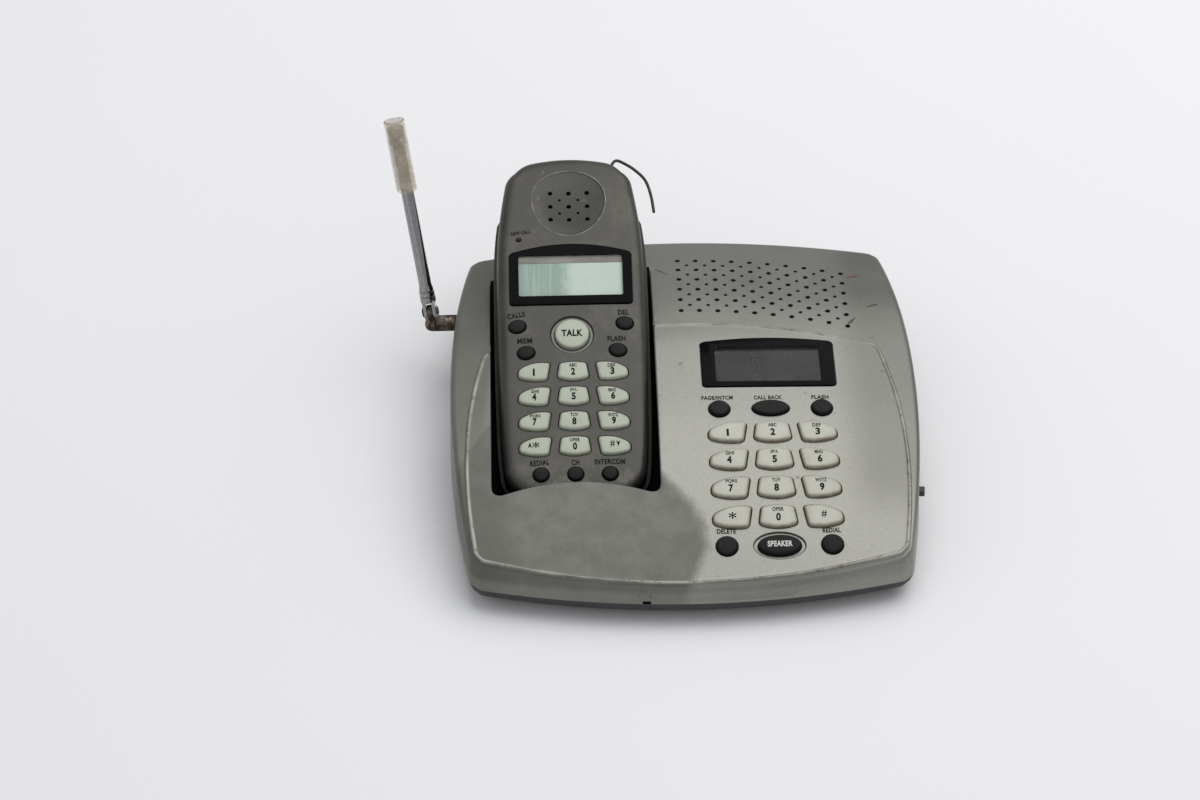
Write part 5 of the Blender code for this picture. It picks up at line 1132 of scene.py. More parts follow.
def edge_point(u, v, inset=0.0, drop=0.0):
    x, y = EDGE.place(u, v, inset)
    return Vector((x, y, deck_height(x, y) - drop))


def wall_point(u, v, share, inset=0.0):
    """Point on the base's outer wall, from the rim (0) to the deck's edge (1)."""
    x, y = RIM.place(u, v, inset)
    return Vector((x, y, RIM_HEIGHT)).lerp(edge_point(u, v, inset), share)


def shoulder_point(u, v, share):
    """Point on the rounded shoulder, from the wall (0) to the deck (1)."""
    height = edge_point(u, v).z - RIM_HEIGHT
    low = wall_point(u, v, 1 - SHOULDER_RADIUS / height)
    high = edge_point(u, v, SHOULDER_RADIUS)
    corner = edge_point(u, v)
    return low * (1 - share) ** 2 + corner * 2 * share * (1 - share) + high * share * share


def side_frame(side, y, z):
    """Frame on a side wall: X points out of the wall and Y along it. side is -1 at the left, 1 at the right."""

    def at(place_y, place_z):
        along = (place_y - RIM_FRONT - FRONT_BOW) / (RIM_REAR - REAR_BOW - RIM_FRONT - FRONT_BOW)
        v = 2 * along - 1
        top = edge_point(1, v).z
        share = (place_z - RIM_HEIGHT) / (top - RIM_HEIGHT)
        return Vector((side * wall_point(1, v, share).x, place_y, place_z))

    step = 1 * MM
    along = (at(y + step, z) - at(y - step, z)).normalized()
    up = (at(y, z + step) - at(y, z - step)).normalized()
    out = along.cross(up).normalized() * side
    along = up.cross(out).normalized()
    up = out.cross(along)
    placed = Matrix((out, along, up)).transposed().to_4x4()
    placed.translation = at(y, z)
    return placed


def panel_slab():
    """The raised panel with a bead along its edge: a slab that sinks into the deck's skin."""
    ends = (FRONT_BOW, PANEL_REAR_BOW, PANEL_SIDE_BOW)
    plan = Plan(PANEL_FRONT, PANEL_REAR, PANEL_HALF_WIDTH, *ends, (PANEL_CORNER, PANEL_CORNER), PANEL_TAPER)
    across, along = plan.across(40, 6), plan.along(34, 6)

    def ring(inset, rise):
        def at(u, v):
            x, y = plan.place(u, v, inset * MM)
            return Vector((x, y, deck_height(x, y) + rise * MM))

        return at

    bead = ((1.6, 0.86), (1.35, 1.05), (1.1, 1.17), (0.85, 1.2), (0.55, 1.12), (0.28, 0.9), (0.08, 0.5))
    rings = [ring(*place) for place in (*bead, (0, 0.1), (0, -1.1))]
    bm = surface_mesh(across, along, ring(1.85, PANEL_RAISE / MM), rings)
    close_below(bm)
    return rough_object("panel_slab", bm)


def pocket_outline(margin):
    left, right = POCKET_X - POCKET_HALF_WIDTH, POCKET_X + POCKET_HALF_WIDTH
    corners = ((left, POCKET_FRONT), (right, POCKET_FRONT), (right, POCKET_REAR), (left, POCKET_REAR))
    setbacks = (POCKET_CORNER, POCKET_CORNER, MM, MM)
    points = outline(corners, (-POCKET_TAB, 0, 0, 0), setbacks, side_steps=36)
    return grown(points, margin) if margin else points


def pocket_cutter():
    """The pocket's space, with a small round at its upper edge where the floor lies below the deck."""
    plain = pocket_outline(0)
    rings = [[Vector((x, y, pocket_floor(y))) for x, y in plain]]
    for out, down in ((0.001, 0.7), (0.08, 0.4), (0.3, 0.12), (0.7, 0.0), (1.4, -1.2)):
        ring = []
        for (x, y), (wide_x, wide_y) in zip(plain, pocket_outline(out * MM)):
            least = pocket_floor(y) + 0.2 * MM * len(rings)
            ring.append(Vector((wide_x, wide_y, max(least, top_of_base(x, y) - down * MM))))
        rings.append(ring)
    rings.append([Vector((point.x, point.y, 62 * MM)) for point in rings[-1]])
    bm = bmesh.new()
    loft(bm, rings)
    return rough_object("pocket_space", bm)


def top_of_base(x, y):
    """Height of the panel where it lies, and of the deck behind it."""
    share = x / (PANEL_HALF_WIDTH + PANEL_SIDE_BOW)
    border = PANEL_REAR - PANEL_REAR_BOW * share * share
    return panel_height(x, y) if y < border else deck_height(x, y)


def pocket_tub():
    points = pocket_outline(POCKET_WALL)
    drop = POCKET_WALL / math.cos(POCKET_TILT)
    low = [Vector((x, y, pocket_floor(y) - drop)) for x, y in points]
    bm = bmesh.new()
    loft(bm, [low, level(points, 60 * MM)])
    tub = rough_object("pocket_tub", bm)

    def skirt(u, v):
        x, y = EDGE.place(u, v, UNDER_DECK_INSET)
        return Vector((x, y, 0))

    def middle(u, v):
        return edge_point(u, v, UNDER_DECK_INSET, BASE_WALL / 3)

    below = rough_object("under_deck", close_below(surface_mesh(BASE_ACROSS, BASE_ALONG, middle, [skirt])))
    return combine(tub, "INTERSECT", below)


def add_cut(bm, shape, placed, low, chamfer=0.3 * MM, high=CUT_HEIGHT):
    """Adds a closed cutter from low to well above the surface, with a small chamfer at the surface."""
    rings = [level(shape, low), level(shape, -chamfer)]
    wide = grown(shape, chamfer)
    rings += [level(wide, 0.02 * MM), level(wide, high)]
    loft(bm, [[placed @ point for point in ring] for ring in rings])


def base_button_shapes():
    for _, shape, x, y in keys_of(*BASE_KEYPAD):
        yield shape, x, y
    small = oval(ROUND_BUTTON_RADIUS, ROUND_BUTTON_RADIUS)
    for side in (-1, 1):
        for y in (UPPER_ROW_Y, LOWER_ROW_Y):
            yield small, KEYPAD_X + side * ROUND_BUTTON_PITCH, y
    yield oval(*CALL_BACK_HALF), KEYPAD_X, UPPER_ROW_Y
    yield oval(*SPEAKER_HALF), KEYPAD_X, LOWER_ROW_Y


def base_window_frame():
    return surface_frame(panel_height, *BASE_WINDOW)


def base_cutters():
    recesses = bmesh.new()
    shape = window_outline(*BASE_WINDOW_HALF, BASE_WINDOW_ARCH, 2 * MM)
    seat = WINDOW_PROUD - WINDOW_THICKNESS - FIT
    add_cut(recesses, grown(shape, FIT), base_window_frame(), seat, 0.2 * MM)
    ring = oval(SPEAKER_HALF[0] + SPEAKER_RECESS, SPEAKER_HALF[1] + SPEAKER_RECESS, 60)
    spot = surface_frame(panel_height, KEYPAD_X, LOWER_ROW_Y)
    add_cut(recesses, ring, spot, -SPEAKER_RECESS_DEPTH, 0.5 * MM)
    holes = bmesh.new()
    for shape, x, y in base_button_shapes():
        add_cut(holes, grown(shape, FIT), surface_frame(panel_height, x, y), -HOLE_DEPTH)
    opening = window_outline(*BASE_SCREEN_HALF, 0, 1 * MM)
    add_cut(holes, opening, base_window_frame(), -HOLE_DEPTH, 0.1 * MM)
    grille = bmesh.new()
    for row in range(GRILLE_ROWS):
        for column in range(GRILLE_COLUMNS):
            places = [(column, row, GRILLE_HOLE)]
            if row < GRILLE_ROWS - 1 and column < GRILLE_COLUMNS - 1:
                places.append((column + 0.5, row + 0.5, GRILLE_SMALL_HOLE))
            for across, down, radius in places:
                x = GRILLE_X + across * GRILLE_PITCH_X
                y = GRILLE_Y - down * GRILLE_PITCH_Y - GRILLE_BOW * x * x
                spot = Matrix.Translation((x, y, deck_height(x, y)))
                add_cut(grille, oval(radius, radius, 20), spot, -5 * MM, 0.06 * MM, 3 * MM)
    walls = bmesh.new()
    wide, deep, high = NOTCH_SIZE
    add_box(walls, (wide, deep, 2 * high), (NOTCH_X, RIM_FRONT, RIM_HEIGHT))
    long = SLIDER_KNOB[0] + 2 * SLIDER_TRAVEL + 2 * FIT
    slot = (8 * BASE_WALL, long, SLIDER_KNOB[1] + 2 * FIT)
    add_box(walls, slot, (0, 0, 0), side_frame(1, SLIDER_Y, SLIDER_Z))
    stub = Matrix.Translation((STUB_OUTER, STUB_Y, STUB_Z)) @ Matrix.Rotation(math.pi / 2, 4, "Y")
    length = STUB_INNER - STUB_OUTER
    prism(walls, oval(STUB_RADIUS + FIT, STUB_RADIUS + FIT, 40), stub, -length, length)
    width, depth, height = JACK_SIZE
    size = (width + 2 * FIT, 2 * (JACK_INSET + depth / 2), height + 2 * FIT)
    add_box(walls, size, (JACK_X, RIM_REAR, JACK_BASE + height / 2))
    names = ("recesses", "holes", "grille", "walls")
    return [rough_object(name, bm) for name, bm in zip(names, (recesses, holes, grille, walls))]


def make_base_top():
    steps = 7
    rings = [lambda u, v, k=k: shoulder_point(u, v, 1 - k / steps) for k in range(1, steps + 1)]
    rings.append(lambda u, v: wall_point(u, v, 0.5 * (1 - SHOULDER_RADIUS / (20 * MM))))
    rings.append(lambda u, v: wall_point(u, v, 0) + Vector((0, 0, RIM_BAND)))
    rings.append(lambda u, v: wall_point(u, v, 0))
    bm = surface_mesh(BASE_ACROSS, BASE_ALONG, lambda u, v: shoulder_point(u, v, 1), rings)
    shell = solidify(rough_object("base_top", bm), BASE_WALL)
    combine(shell, "UNION", panel_slab())
    combine(shell, "UNION", pocket_tub())
    combine(shell, "DIFFERENCE", pocket_cutter())
    combine(shell, "DIFFERENCE", *base_cutters())
    # Faces inside the pocket take the near black painted shade; the faces of the bead take the bead's paint
    for polygon in shell.data.polygons:
        x, y, z = polygon.center
        inside = abs(x - POCKET_X) < POCKET_HALF_WIDTH + 0.1 * MM and y > POCKET_FRONT - FIT
        rear_wall = polygon.normal.y > 0.5 and y > 0
        if inside and not rear_wall and z < top_of_base(x, y) - 0.9 * MM:
            polygon.material_index = 1
        elif 0.88 * MM < z - deck_height(x, y) < 1.3 * MM:
            polygon.material_index = 2
    finished(shell, PHONE, "base", (SILVER, POCKET_SHADE, BEAD), ["base_top_shell"])


def jack_y():
    share = JACK_X / RIM_HALF_WIDTH
    return RIM_REAR - REAR_BOW * share * share - JACK_SIZE[1] / 2 - JACK_BEHIND


UNDERSIDE_SCREWS = ((-72, -60), (72, -60), (-72, 52), (72, 52), (0, -2))


def make_base_bottom():
    def ring(inset, height):
        def at(u, v):
            x, y = RIM.place(u, v, inset)
            return Vector((x, y, height))

        return at

    rim = RIM_HEIGHT - FIT
    rings = []
    for k in range(1, 6):
        share = k / 5
        inset = BOTTOM_TUCK * (1 - share) ** 2 + BOTTOM_TUCK * 0.36 * share * (1 - share) + FIT * share
        rings.append(ring(inset, UNDERSIDE + (rim - RIM_BAND - UNDERSIDE) * share**1.6))
    rings.append(ring(FIT, rim))
    bm = surface_mesh(BASE_ACROSS, BASE_ALONG, ring(BOTTOM_TUCK, UNDERSIDE), rings, True)
    tray = solidify(rough_object("base_bottom", bm), BOTTOM_WALL)
    width, depth, height = JACK_SIZE
    floor, top = UNDERSIDE + BOTTOM_WALL / 2, JACK_BASE - FIT
    plinth = bmesh.new()
    place = (JACK_X, jack_y() - PLINTH_FORWARD, (top + floor) / 2)
    add_box(plinth, (width - 4 * MM, PLINTH_DEPTH, top - floor), place)
    combine(tray, "UNION", rough_object("plinth", plinth))
    cuts = bmesh.new()
    for side in (-1, 1):
        for k in range(9):
            slot = window_outline(11 * MM, 0.9 * MM, 0, 0.85 * MM, 1)
            spot = Matrix.Translation((side * 34 * MM, (26 - k * 5) * MM, 0))
            prism(cuts, slot, spot, 0, 8 * MM)
    for x, y in UNDERSIDE_SCREWS:
        spot = Matrix.Translation((x * MM, y * MM, 0))
        prism(cuts, oval(3.2 * MM, 3.2 * MM, 32), spot, 0, 2.4 * MM)
    combine(tray, "DIFFERENCE", rough_object("underside_cuts", cuts))
    finished(tray, PHONE, "base", CHARCOAL, ["base_bottom_shell"])


def make_screws(name, spots, body, radius):
    """Cross-head screws, each in its own frame with Z out of the surface."""
    bm = bmesh.new()
    for spot in spots:
        profile = ((0.001 * MM, -2.4 * MM), (radius * 0.5, -2.4 * MM), (radius * 0.5, -0.9 * MM))
        head = ((radius, -0.9 * MM), (radius, -0.45 * MM), (radius * 0.8, -0.12 * MM), (radius * 0.35, 0))
        turned(bm, profile + head, spot, 28)
    screws = rough_object(name, bm)
    for turn in (0.4, 0.4 + math.pi / 2):
        bars = bmesh.new()
        for spot in spots:
            at = spot @ Matrix.Rotation(turn, 4, "Z")
            add_box(bars, (radius * 1.2, radius * 0.24, 1.2 * MM), (0, 0, 0), at)
        combine(screws, "DIFFERENCE", rough_object("bars", bars))
    finished(screws, Matrix(), body, STEEL)


# Displays


def make_display(prefix, half, arch, screen_half, above, surface_spot, placed, wall, film):
    """A display's cover: the black printed frame, the clear pane, a mask above the screen, and a blank film."""
    shape = window_outline(*half, arch, 2 * MM)
    opening = window_outline(screen_half[0] - 0.1 * MM, screen_half[1] - 0.1 * MM + above / 2, 0, 1 * MM)
    opening = [(x, y + above / 2) for x, y in opening]
    low = WINDOW_PROUD - WINDOW_THICKNESS
    world = placed @ surface_spot
    bm = bmesh.new()
    rings = [level(shape, low), level(shape, WINDOW_PROUD - WINDOW_ROUNDING)]
    for k in range(1, 5):
        angle = k / 4 * math.pi / 2
        inner = grown(shape, -WINDOW_ROUNDING * (1 - math.cos(angle)))
        rings.append(level(inner, WINDOW_PROUD - WINDOW_ROUNDING * (1 - math.sin(angle))))
    loft(bm, rings)
    bezel = rough_object(f"{prefix}_display_frame", bm)
    cutter = bmesh.new()
    prism(cutter, opening, Matrix(), low - MM, WINDOW_PROUD + MM)
    combine(bezel, "DIFFERENCE", rough_object("opening", cutter))
    finished(bezel, world, prefix, GLOSS, [f"{prefix}_display_window"])
    bm = bmesh.new()
    prism(bm, grown(opening, 0.05 * MM), Matrix(), low + 0.2 * MM, WINDOW_PROUD - 0.02 * MM)
    piece(f"{prefix}_display_pane", bm, world, prefix, PANE)
    if above:
        bm = bmesh.new()
        mask = window_outline(screen_half[0] + 0.3 * MM, above / 2 + 0.4 * MM, 0, 0.3 * MM)
        mask = [(x, y + screen_half[1] + above / 2) for x, y in mask]
        prism(bm, mask, Matrix(), low + 0.01 * MM, low + 0.16 * MM)
        piece(f"{prefix}_display_mask", bm, world, prefix, MASK)
    bm = bmesh.new()
    depth = -wall - 2 * FIT
    inner = window_outline(screen_half[0] + 0.8 * MM, screen_half[1] + 0.8 * MM, 0, 1 * MM)
    column = window_outline(*screen_half, 0, 1 * MM)
    rings = [level(inner, depth), level(inner, depth + 0.18 * MM)]
    rings += [level(column, depth + 0.25 * MM), level(column, low - 0.02 * MM)]
    loft(bm, rings)
    piece(f"{prefix}_display_film", bm, world, prefix, film)


# Labels on the shells


def label(bm, height, words, width, high, x, y, turn=0.0):
    """A line of print on a shell, its width and height in millimetres."""
    spot = surface_frame(height, x, y)
    lettering(bm, words, (width * MM, high * MM), (0, 0), height, spot, turn * DEGREE, 0.04, 0)


def make_labels():
    bm = bmesh.new()
    for words, width, side, row, shift, up in (
        ("PAGE/INTCM", 12.9, -1, UPPER_ROW_Y, -0.6, 6.3),
        ("CALL BACK", 11.6, 0, UPPER_ROW_Y, -0.8, 6.15),
        ("FLASH", 7.1, 1, UPPER_ROW_Y, -0.4, 6.1),
        ("DELETE", 7.6, -1, LOWER_ROW_Y, 0, 6.4),
        ("REDIAL", 7.3, 1, LOWER_ROW_Y, 0, 6.1),
    ):
        x = KEYPAD_X + side * ROUND_BUTTON_PITCH + shift * MM
        label(bm, panel_height, words, width, 2.25, x, row + up * MM)
    piece("base_labels", bm, PHONE, "base", DARK_INK)
    bm = bmesh.new()
    places = [(x, y) for _, x, y, _ in UPPER_BUTTONS]
    places += [(k * BOTTOM_ROW_PITCH, BOTTOM_ROW_Y) for k in (-1, 0, 1)]
    prints = (
        ("CALLS", 7.4, -0.5, 5.7, 10),
        ("MEM", 6.2, -0.5, 6.0, 0),
        ("DEL", 4.7, -0.4, 5.4, 0),
        ("FLASH", 7.6, -0.4, 5.7, 0),
        ("REDIAL", 7.8, -0.5, 5.6, 5),
        ("CH", 3.1, 0, 5.4, 0),
        ("INTERCOM", 12.5, 0, 5.5, 0),
    )
    for (x, y), (words, width, shift, up, turn) in zip(places, prints):
        label(bm, face_height, words, width, 2.6, x + shift * MM, y + up * MM, turn)
    label(bm, face_height, "NEW CALL", 8.2, 1.9, -20.6 * MM, 90.0 * MM, 8)
    piece("handset_labels", bm, HANDSET, "handset", DARK_INK)


# Handset shells

FACE = HandsetPlan()
BACK = HandsetPlan(FLANGE_WIDTH)
HANDSET_ACROSS, HANDSET_ALONG = FACE.across(26, 12), FACE.along(84, 12)


def back_frame():
    """Frame of the handset's back, at the handset's middle: X across, Y to the head, Z into the handset."""
    gap = Vector((POCKET_X, 0, pocket_floor(0) + FIT / math.cos(POCKET_TILT)))
    lying = Matrix.Translation(gap) @ Matrix.Rotation(POCKET_TILT, 4, "X")
    return REST.inverted() @ lying


BACK_FRAME = back_frame()


def back_height(y):
    origin, along = BACK_FRAME.translation, BACK_FRAME.to_3x3() @ Vector((0, 1, 0))
    return origin.z + (y - origin.y) * along.z / along.y


def earpiece_outline():
    """An egg, wider towards the head."""
    points = []
    for x, y in oval(1, 1, 72):
        width = EARPIECE_HALF[0] * (1 + EARPIECE_EGG * y)
        points.append((x * width, y * EARPIECE_HALF[1]))
    return points


def dish_depth(share):
    """Depth of the earpiece's hollow at a share of its outline."""
    return EARPIECE_DEPTH * (1.06 - share**2.6)


def handset_button_shapes():
    for _, shape, x, y in keys_of(*HANDSET_KEYPAD):
        yield shape, x, y
    for _, x, y, turn in UPPER_BUTTONS:
        yield oval(*SMALL_BUTTON_HALF, 40, turn), x, y
    lower = oval(BOTTOM_BUTTON_RADIUS, BOTTOM_BUTTON_RADIUS, 40)
    for k in (-1, 0, 1):
        yield lower, k * BOTTOM_ROW_PITCH, BOTTOM_ROW_Y
    yield oval(TALK_RADIUS, TALK_RADIUS, 60), 0, TALK_Y


def handset_window_frame():
    return surface_frame(face_height, 0, HANDSET_WINDOW_Y)


def handset_cutters():
    recesses = bmesh.new()
    shape = window_outline(*HANDSET_WINDOW_HALF, HANDSET_WINDOW_ARCH, 2 * MM)
    seat = WINDOW_PROUD - WINDOW_THICKNESS - FIT
    add_cut(recesses, grown(shape, FIT), handset_window_frame(), seat, 0.2 * MM)
    inner = TALK_RADIUS + TALK_RECESS - 0.6 * MM
    add_cut(recesses, oval(inner, inner, 72), surface_frame(face_height, 0, TALK_Y), -TALK_RECESS_DEPTH, 0.6 * MM)
    steps = [(share, -dish_depth(share)) for share in DISH_SHARES]
    rings = []
    for share, lift in (*steps, (1, 0.03 * MM), (1.001, CUT_HEIGHT)):
        ring = [(x * share, EARPIECE_Y + y * share) for x, y in earpiece_outline()]
        rings.append([Vector((x, y, face_height(x, y) + lift)) for x, y in ring])
    loft(recesses, rings)
    holes = bmesh.new()
    for shape, x, y in handset_button_shapes():
        add_cut(holes, grown(shape, FIT), surface_frame(face_height, x, y), -HOLE_DEPTH, 0.25 * MM)
    opening = window_outline(*HANDSET_SCREEN_HALF, 0, 1 * MM)
    add_cut(holes, opening, handset_window_frame(), -HOLE_DEPTH, 0.1 * MM)
    for row in (-1, -0.5, 0, 0.5, 1):
        whole = row == int(row)
        for column in (-1, 0, 1) if whole else (-0.5, 0.5):
            x = column * EARPIECE_PITCH[0]
            y = EARPIECE_HOLES_Y + row * EARPIECE_PITCH[1]
            radius = EARPIECE_HOLE if whole else EARPIECE_SMALL_HOLE
            share = math.hypot(x / EARPIECE_HALF[0], (y - EARPIECE_Y) / EARPIECE_HALF[1])
            spot = Matrix.Translation((x, y, face_height(x, y) - dish_depth(share)))
            add_cut(holes, oval(radius, radius, 20), spot, -6 * MM, 0.06 * MM)
    start, wall = WIRE_POINTS[0], WIRE_POINTS[1]
    along = (wall - start).to_track_quat("Z", "Y").to_matrix().to_4x4()
    bore = Matrix.Translation(start.lerp(wall, 0.6)) @ along
    reach = (wall - start).length
    prism(holes, oval(WIRE_RADIUS + FIT, WIRE_RADIUS + FIT, 24), bore, -reach, reach)
    return rough_object("recesses", recesses), rough_object("holes", holes)


def make_handset_front():
    def at(u, v, inset, drop=0.0):
        x, y = FACE.place(u, v, inset)
        return Vector((x, y, face_height(x, y) - drop))

    def parting(u, v, rise=0.0):
        x, y = FACE.place(u, v, 0)
        return Vector((x, y, PARTING + rise))

    steps = 10
    rings = []
    for k in range(1, steps + 1):
        t = k / steps
        inset, drop = FACE_ROUND * (1 - t) ** 2, FACE_ROUND_DROP * t * t
        rings.append(lambda u, v, inset=inset, drop=drop: at(u, v, inset, drop))
    rings.append(lambda u, v: parting(u, v, 0.6 * MM))
    rings.append(parting)
    bm = surface_mesh(HANDSET_ACROSS, HANDSET_ALONG, lambda u, v: at(u, v, FACE_ROUND), rings)
    shell = solidify(rough_object("handset_front", bm), HANDSET_WALL)
    recesses, holes = handset_cutters()
    combine(shell, "DIFFERENCE", recesses)
    combine(shell, "DIFFERENCE", holes)
    finished(shell, HANDSET, "handset", GUNMETAL, ["handset_front_shell"])


def back_surface():
    def at(u, v, inset, rise):
        x, y = BACK.place(u, v, inset)
        return Vector((x, y, back_height(y) + rise))

    def parting(u, v, drop=0.0):
        x, y = BACK.place(u, v, 0)
        return Vector((x, y, PARTING - FIT - drop))

    steps = 6
    rings = []
    for k in range(1, steps):
        t = k / steps
        inset, rise = BACK_ROUND * (1 - t) ** 2 + 1.0 * MM * t * (1 - t), BACK_ROUND * t * t
        rings.append(lambda u, v, inset=inset, rise=rise: at(u, v, inset, rise))
    rings.append(lambda u, v: parting(u, v, PARTING_BAND))
    rings.append(parting)
    return surface_mesh(HANDSET_ACROSS, HANDSET_ALONG, lambda u, v: at(u, v, BACK_ROUND, 0), rings, True)


def cover_tool(margin):
    bm = bmesh.new()
    low, high = HANDSET_END - 15 * MM, COVER_TOP + margin
    size = (2 * (COVER_HALF_WIDTH + margin), high - low, 10 * MM)
    add_box(bm, size, (0, (low + high) / 2, COVER_HEIGHT + margin - size[2] / 2), BACK_FRAME)
    return rough_object("cover_space", bm)


def make_handset_back():
    wall = HANDSET_WALL - 0.2 * MM
    shell = solidify(rough_object("handset_back", back_surface()), wall)
    combine(shell, "DIFFERENCE", cover_tool(FIT))
    wells = bmesh.new()
    for side in (-1, 1):
        spot = BACK_FRAME @ Matrix.Translation((side * HANDSET_SCREW_X, HANDSET_SCREW_Y, 0))
        prism(wells, oval(2.4 * MM, 2.4 * MM, 28), spot, -2 * MM, 1.3 * MM)
        spot = BACK_FRAME @ Matrix.Translation((side * CONTACT_X, CONTACT_Y, 0))
        prism(wells, window_outline(2.4 * MM, 4.2 * MM, 0, 1.2 * MM, 2), spot, -2 * MM, 0.5 * MM)
    combine(shell, "DIFFERENCE", rough_object("wells", wells))
    finished(shell, HANDSET, "handset", SHADED_GUNMETAL, ["handset_back_shell"])
    cover = solidify(rough_object("battery_cover_lid", back_surface()), wall)
    combine(cover, "INTERSECT", cover_tool(0))
    grips = bmesh.new()
    for k in range(5):
        spot = BACK_FRAME @ Matrix.Translation((0, (20 - k * 2.4) * MM, 0))
        prism(grips, window_outline(8 * MM, 0.55 * MM, 0, 0.5 * MM, 1), spot, -2 * MM, 0.45 * MM)
    combine(cover, "DIFFERENCE", rough_object("grips", grips))
    finished(cover, HANDSET, "battery_cover", SHADED_GUNMETAL, ["battery_cover"])


def make_handset_details():
    bm = bmesh.new()
    tube_along(bm, smooth_path(WIRE_POINTS, 10), WIRE_RADIUS)
    piece("stiff_wire", bm, HANDSET, "handset", WIRE_BLACK, ["handset_antenna_wire"])
    bm = bmesh.new()
    spot = surface_frame(face_height, -21.5 * MM, 86.4 * MM, 10 * DEGREE)
    rings = []
    for out, height in ((1.0, -0.9), (1.0, 0.15), (0.94, 0.32), (0.8, 0.46), (0.55, 0.56), (0.2, 0.6)):
        rings.append([spot @ point for point in level(oval(1.35 * MM * out, 1.05 * MM * out, 36), height * MM)])
    loft(bm, rings)
    piece("new_call_lamp", bm, HANDSET, "handset", LAMP_RED)
    bm = bmesh.new()
    inner, outer = TALK_RADIUS + FIT + 0.15 * MM, TALK_RADIUS + TALK_RECESS - 0.7 * MM
    spot = surface_frame(face_height, 0, TALK_Y)
    profile = (
        (inner, -TALK_RECESS_DEPTH - 0.2 * MM),
        (outer, -TALK_RECESS_DEPTH - 0.2 * MM),
        (outer, -TALK_RECESS_DEPTH + 0.2 * MM),
        (inner + 0.2 * MM, -TALK_RECESS_DEPTH + 0.2 * MM),
    )
    rings = [level(oval(radius, radius, 72), height) for radius, height in profile]
    loft(bm, [[spot @ point for point in ring] for ring in rings], True)
    piece("talk_ring", bm, HANDSET, "handset", RING_PLASTIC)
    bm = bmesh.new()
    for side in (-1, 1):
        spot = BACK_FRAME @ Matrix.Translation((side * CONTACT_X, CONTACT_Y, 0.42 * MM))
        add_soft_box(bm, (3.4 * MM, 7.0 * MM, 0.5 * MM), (0, 0, 0), 0.15 * MM, spot)
    piece("handset_charging_contacts", bm, HANDSET, "handset", GOLD)
    spots = []
    for side in (-1, 1):
        place = Matrix.Translation((side * HANDSET_SCREW_X, HANDSET_SCREW_Y, 0.55 * MM))
        spots.append(HANDSET @ BACK_FRAME @ place @ Matrix.Rotation(math.pi, 4, "X"))
    make_screws("handset_screws", spots, "handset", 1.9 * MM)


# Antenna


def make_elbow():
    """The bent stub and the flat tongue with its rivet."""
    bm = bmesh.new()
    start = Vector((STUB_INNER, STUB_Y, STUB_Z))
    bend = Vector((STUB_OUTER, STUB_Y, STUB_Z))
    path = [start.lerp(bend, share) for share in (0, 0.3, 0.6, 0.85)]
    path += [bend, bend + Vector((-1.2 * MM, -0.3 * MM, 0.5 * MM))]
    rings = []
    sides = 32
    for k, point in enumerate(path):
        along = (path[min(k + 1, len(path) - 1)] - path[max(k - 1, 0)]).normalized()
        up = Vector((0, 0, 1))
        up = (up - along * up.dot(along)).normalized()
        other = along.cross(up)
        turns = [2 * math.pi * i / sides for i in range(sides)]
        rings.append([point + (up * math.cos(a) + other * math.sin(a)) * STUB_RADIUS for a in turns])
    rings += tip_rings(rings[-1], path[-1], along, (25, 45, 62, 76, 86), STUB_RADIUS * 0.62)
    loft(bm, rings)
    elbow = rough_object("antenna_elbow_stub", bm)
    lean = Matrix.Rotation(-LEAN_OUT, 4, "Y")
    pivot = Matrix.Translation(PIVOT) @ lean
    down = (PIVOT - bend).length
    tongue = bmesh.new()
    half = EYE_RADIUS * 0.99
    shape = [(-half, -down), (half, -down), *half_round(half, 0)]
    flat = Matrix.Rotation(math.pi / 2, 4, "Z") @ Matrix.Rotation(math.pi / 2, 4, "X")
    prism(tongue, shape, pivot @ flat, -TONGUE / 2, TONGUE / 2)
    bmesh.ops.recalc_face_normals(tongue, faces=tongue.faces)
    combine(elbow, "UNION", rough_object("tongue", tongue))
    across = pivot @ Matrix.Rotation(math.pi / 2, 4, "Y")
    outside = TONGUE / 2 + FIT + CHEEK + FIT + RIVET_HEAD
    profile = [(0.02 * MM, -outside), (RIVET_HEAD_RADIUS * 0.6, -outside + 0.08 * MM)]
    profile += [(RIVET_HEAD_RADIUS, -outside + 0.35 * MM), (RIVET_HEAD_RADIUS, -outside + RIVET_HEAD)]
    profile += [(RIVET_RADIUS, -outside + RIVET_HEAD)]
    profile += [(radius, -height) for radius, height in reversed(profile)]
    rivet = bmesh.new()
    turned(rivet, profile, across, 28)
    combine(elbow, "UNION", rough_object("rivet", rivet))
    finished(elbow, PHONE, "base", RUST, ["antenna_elbow"], 35)


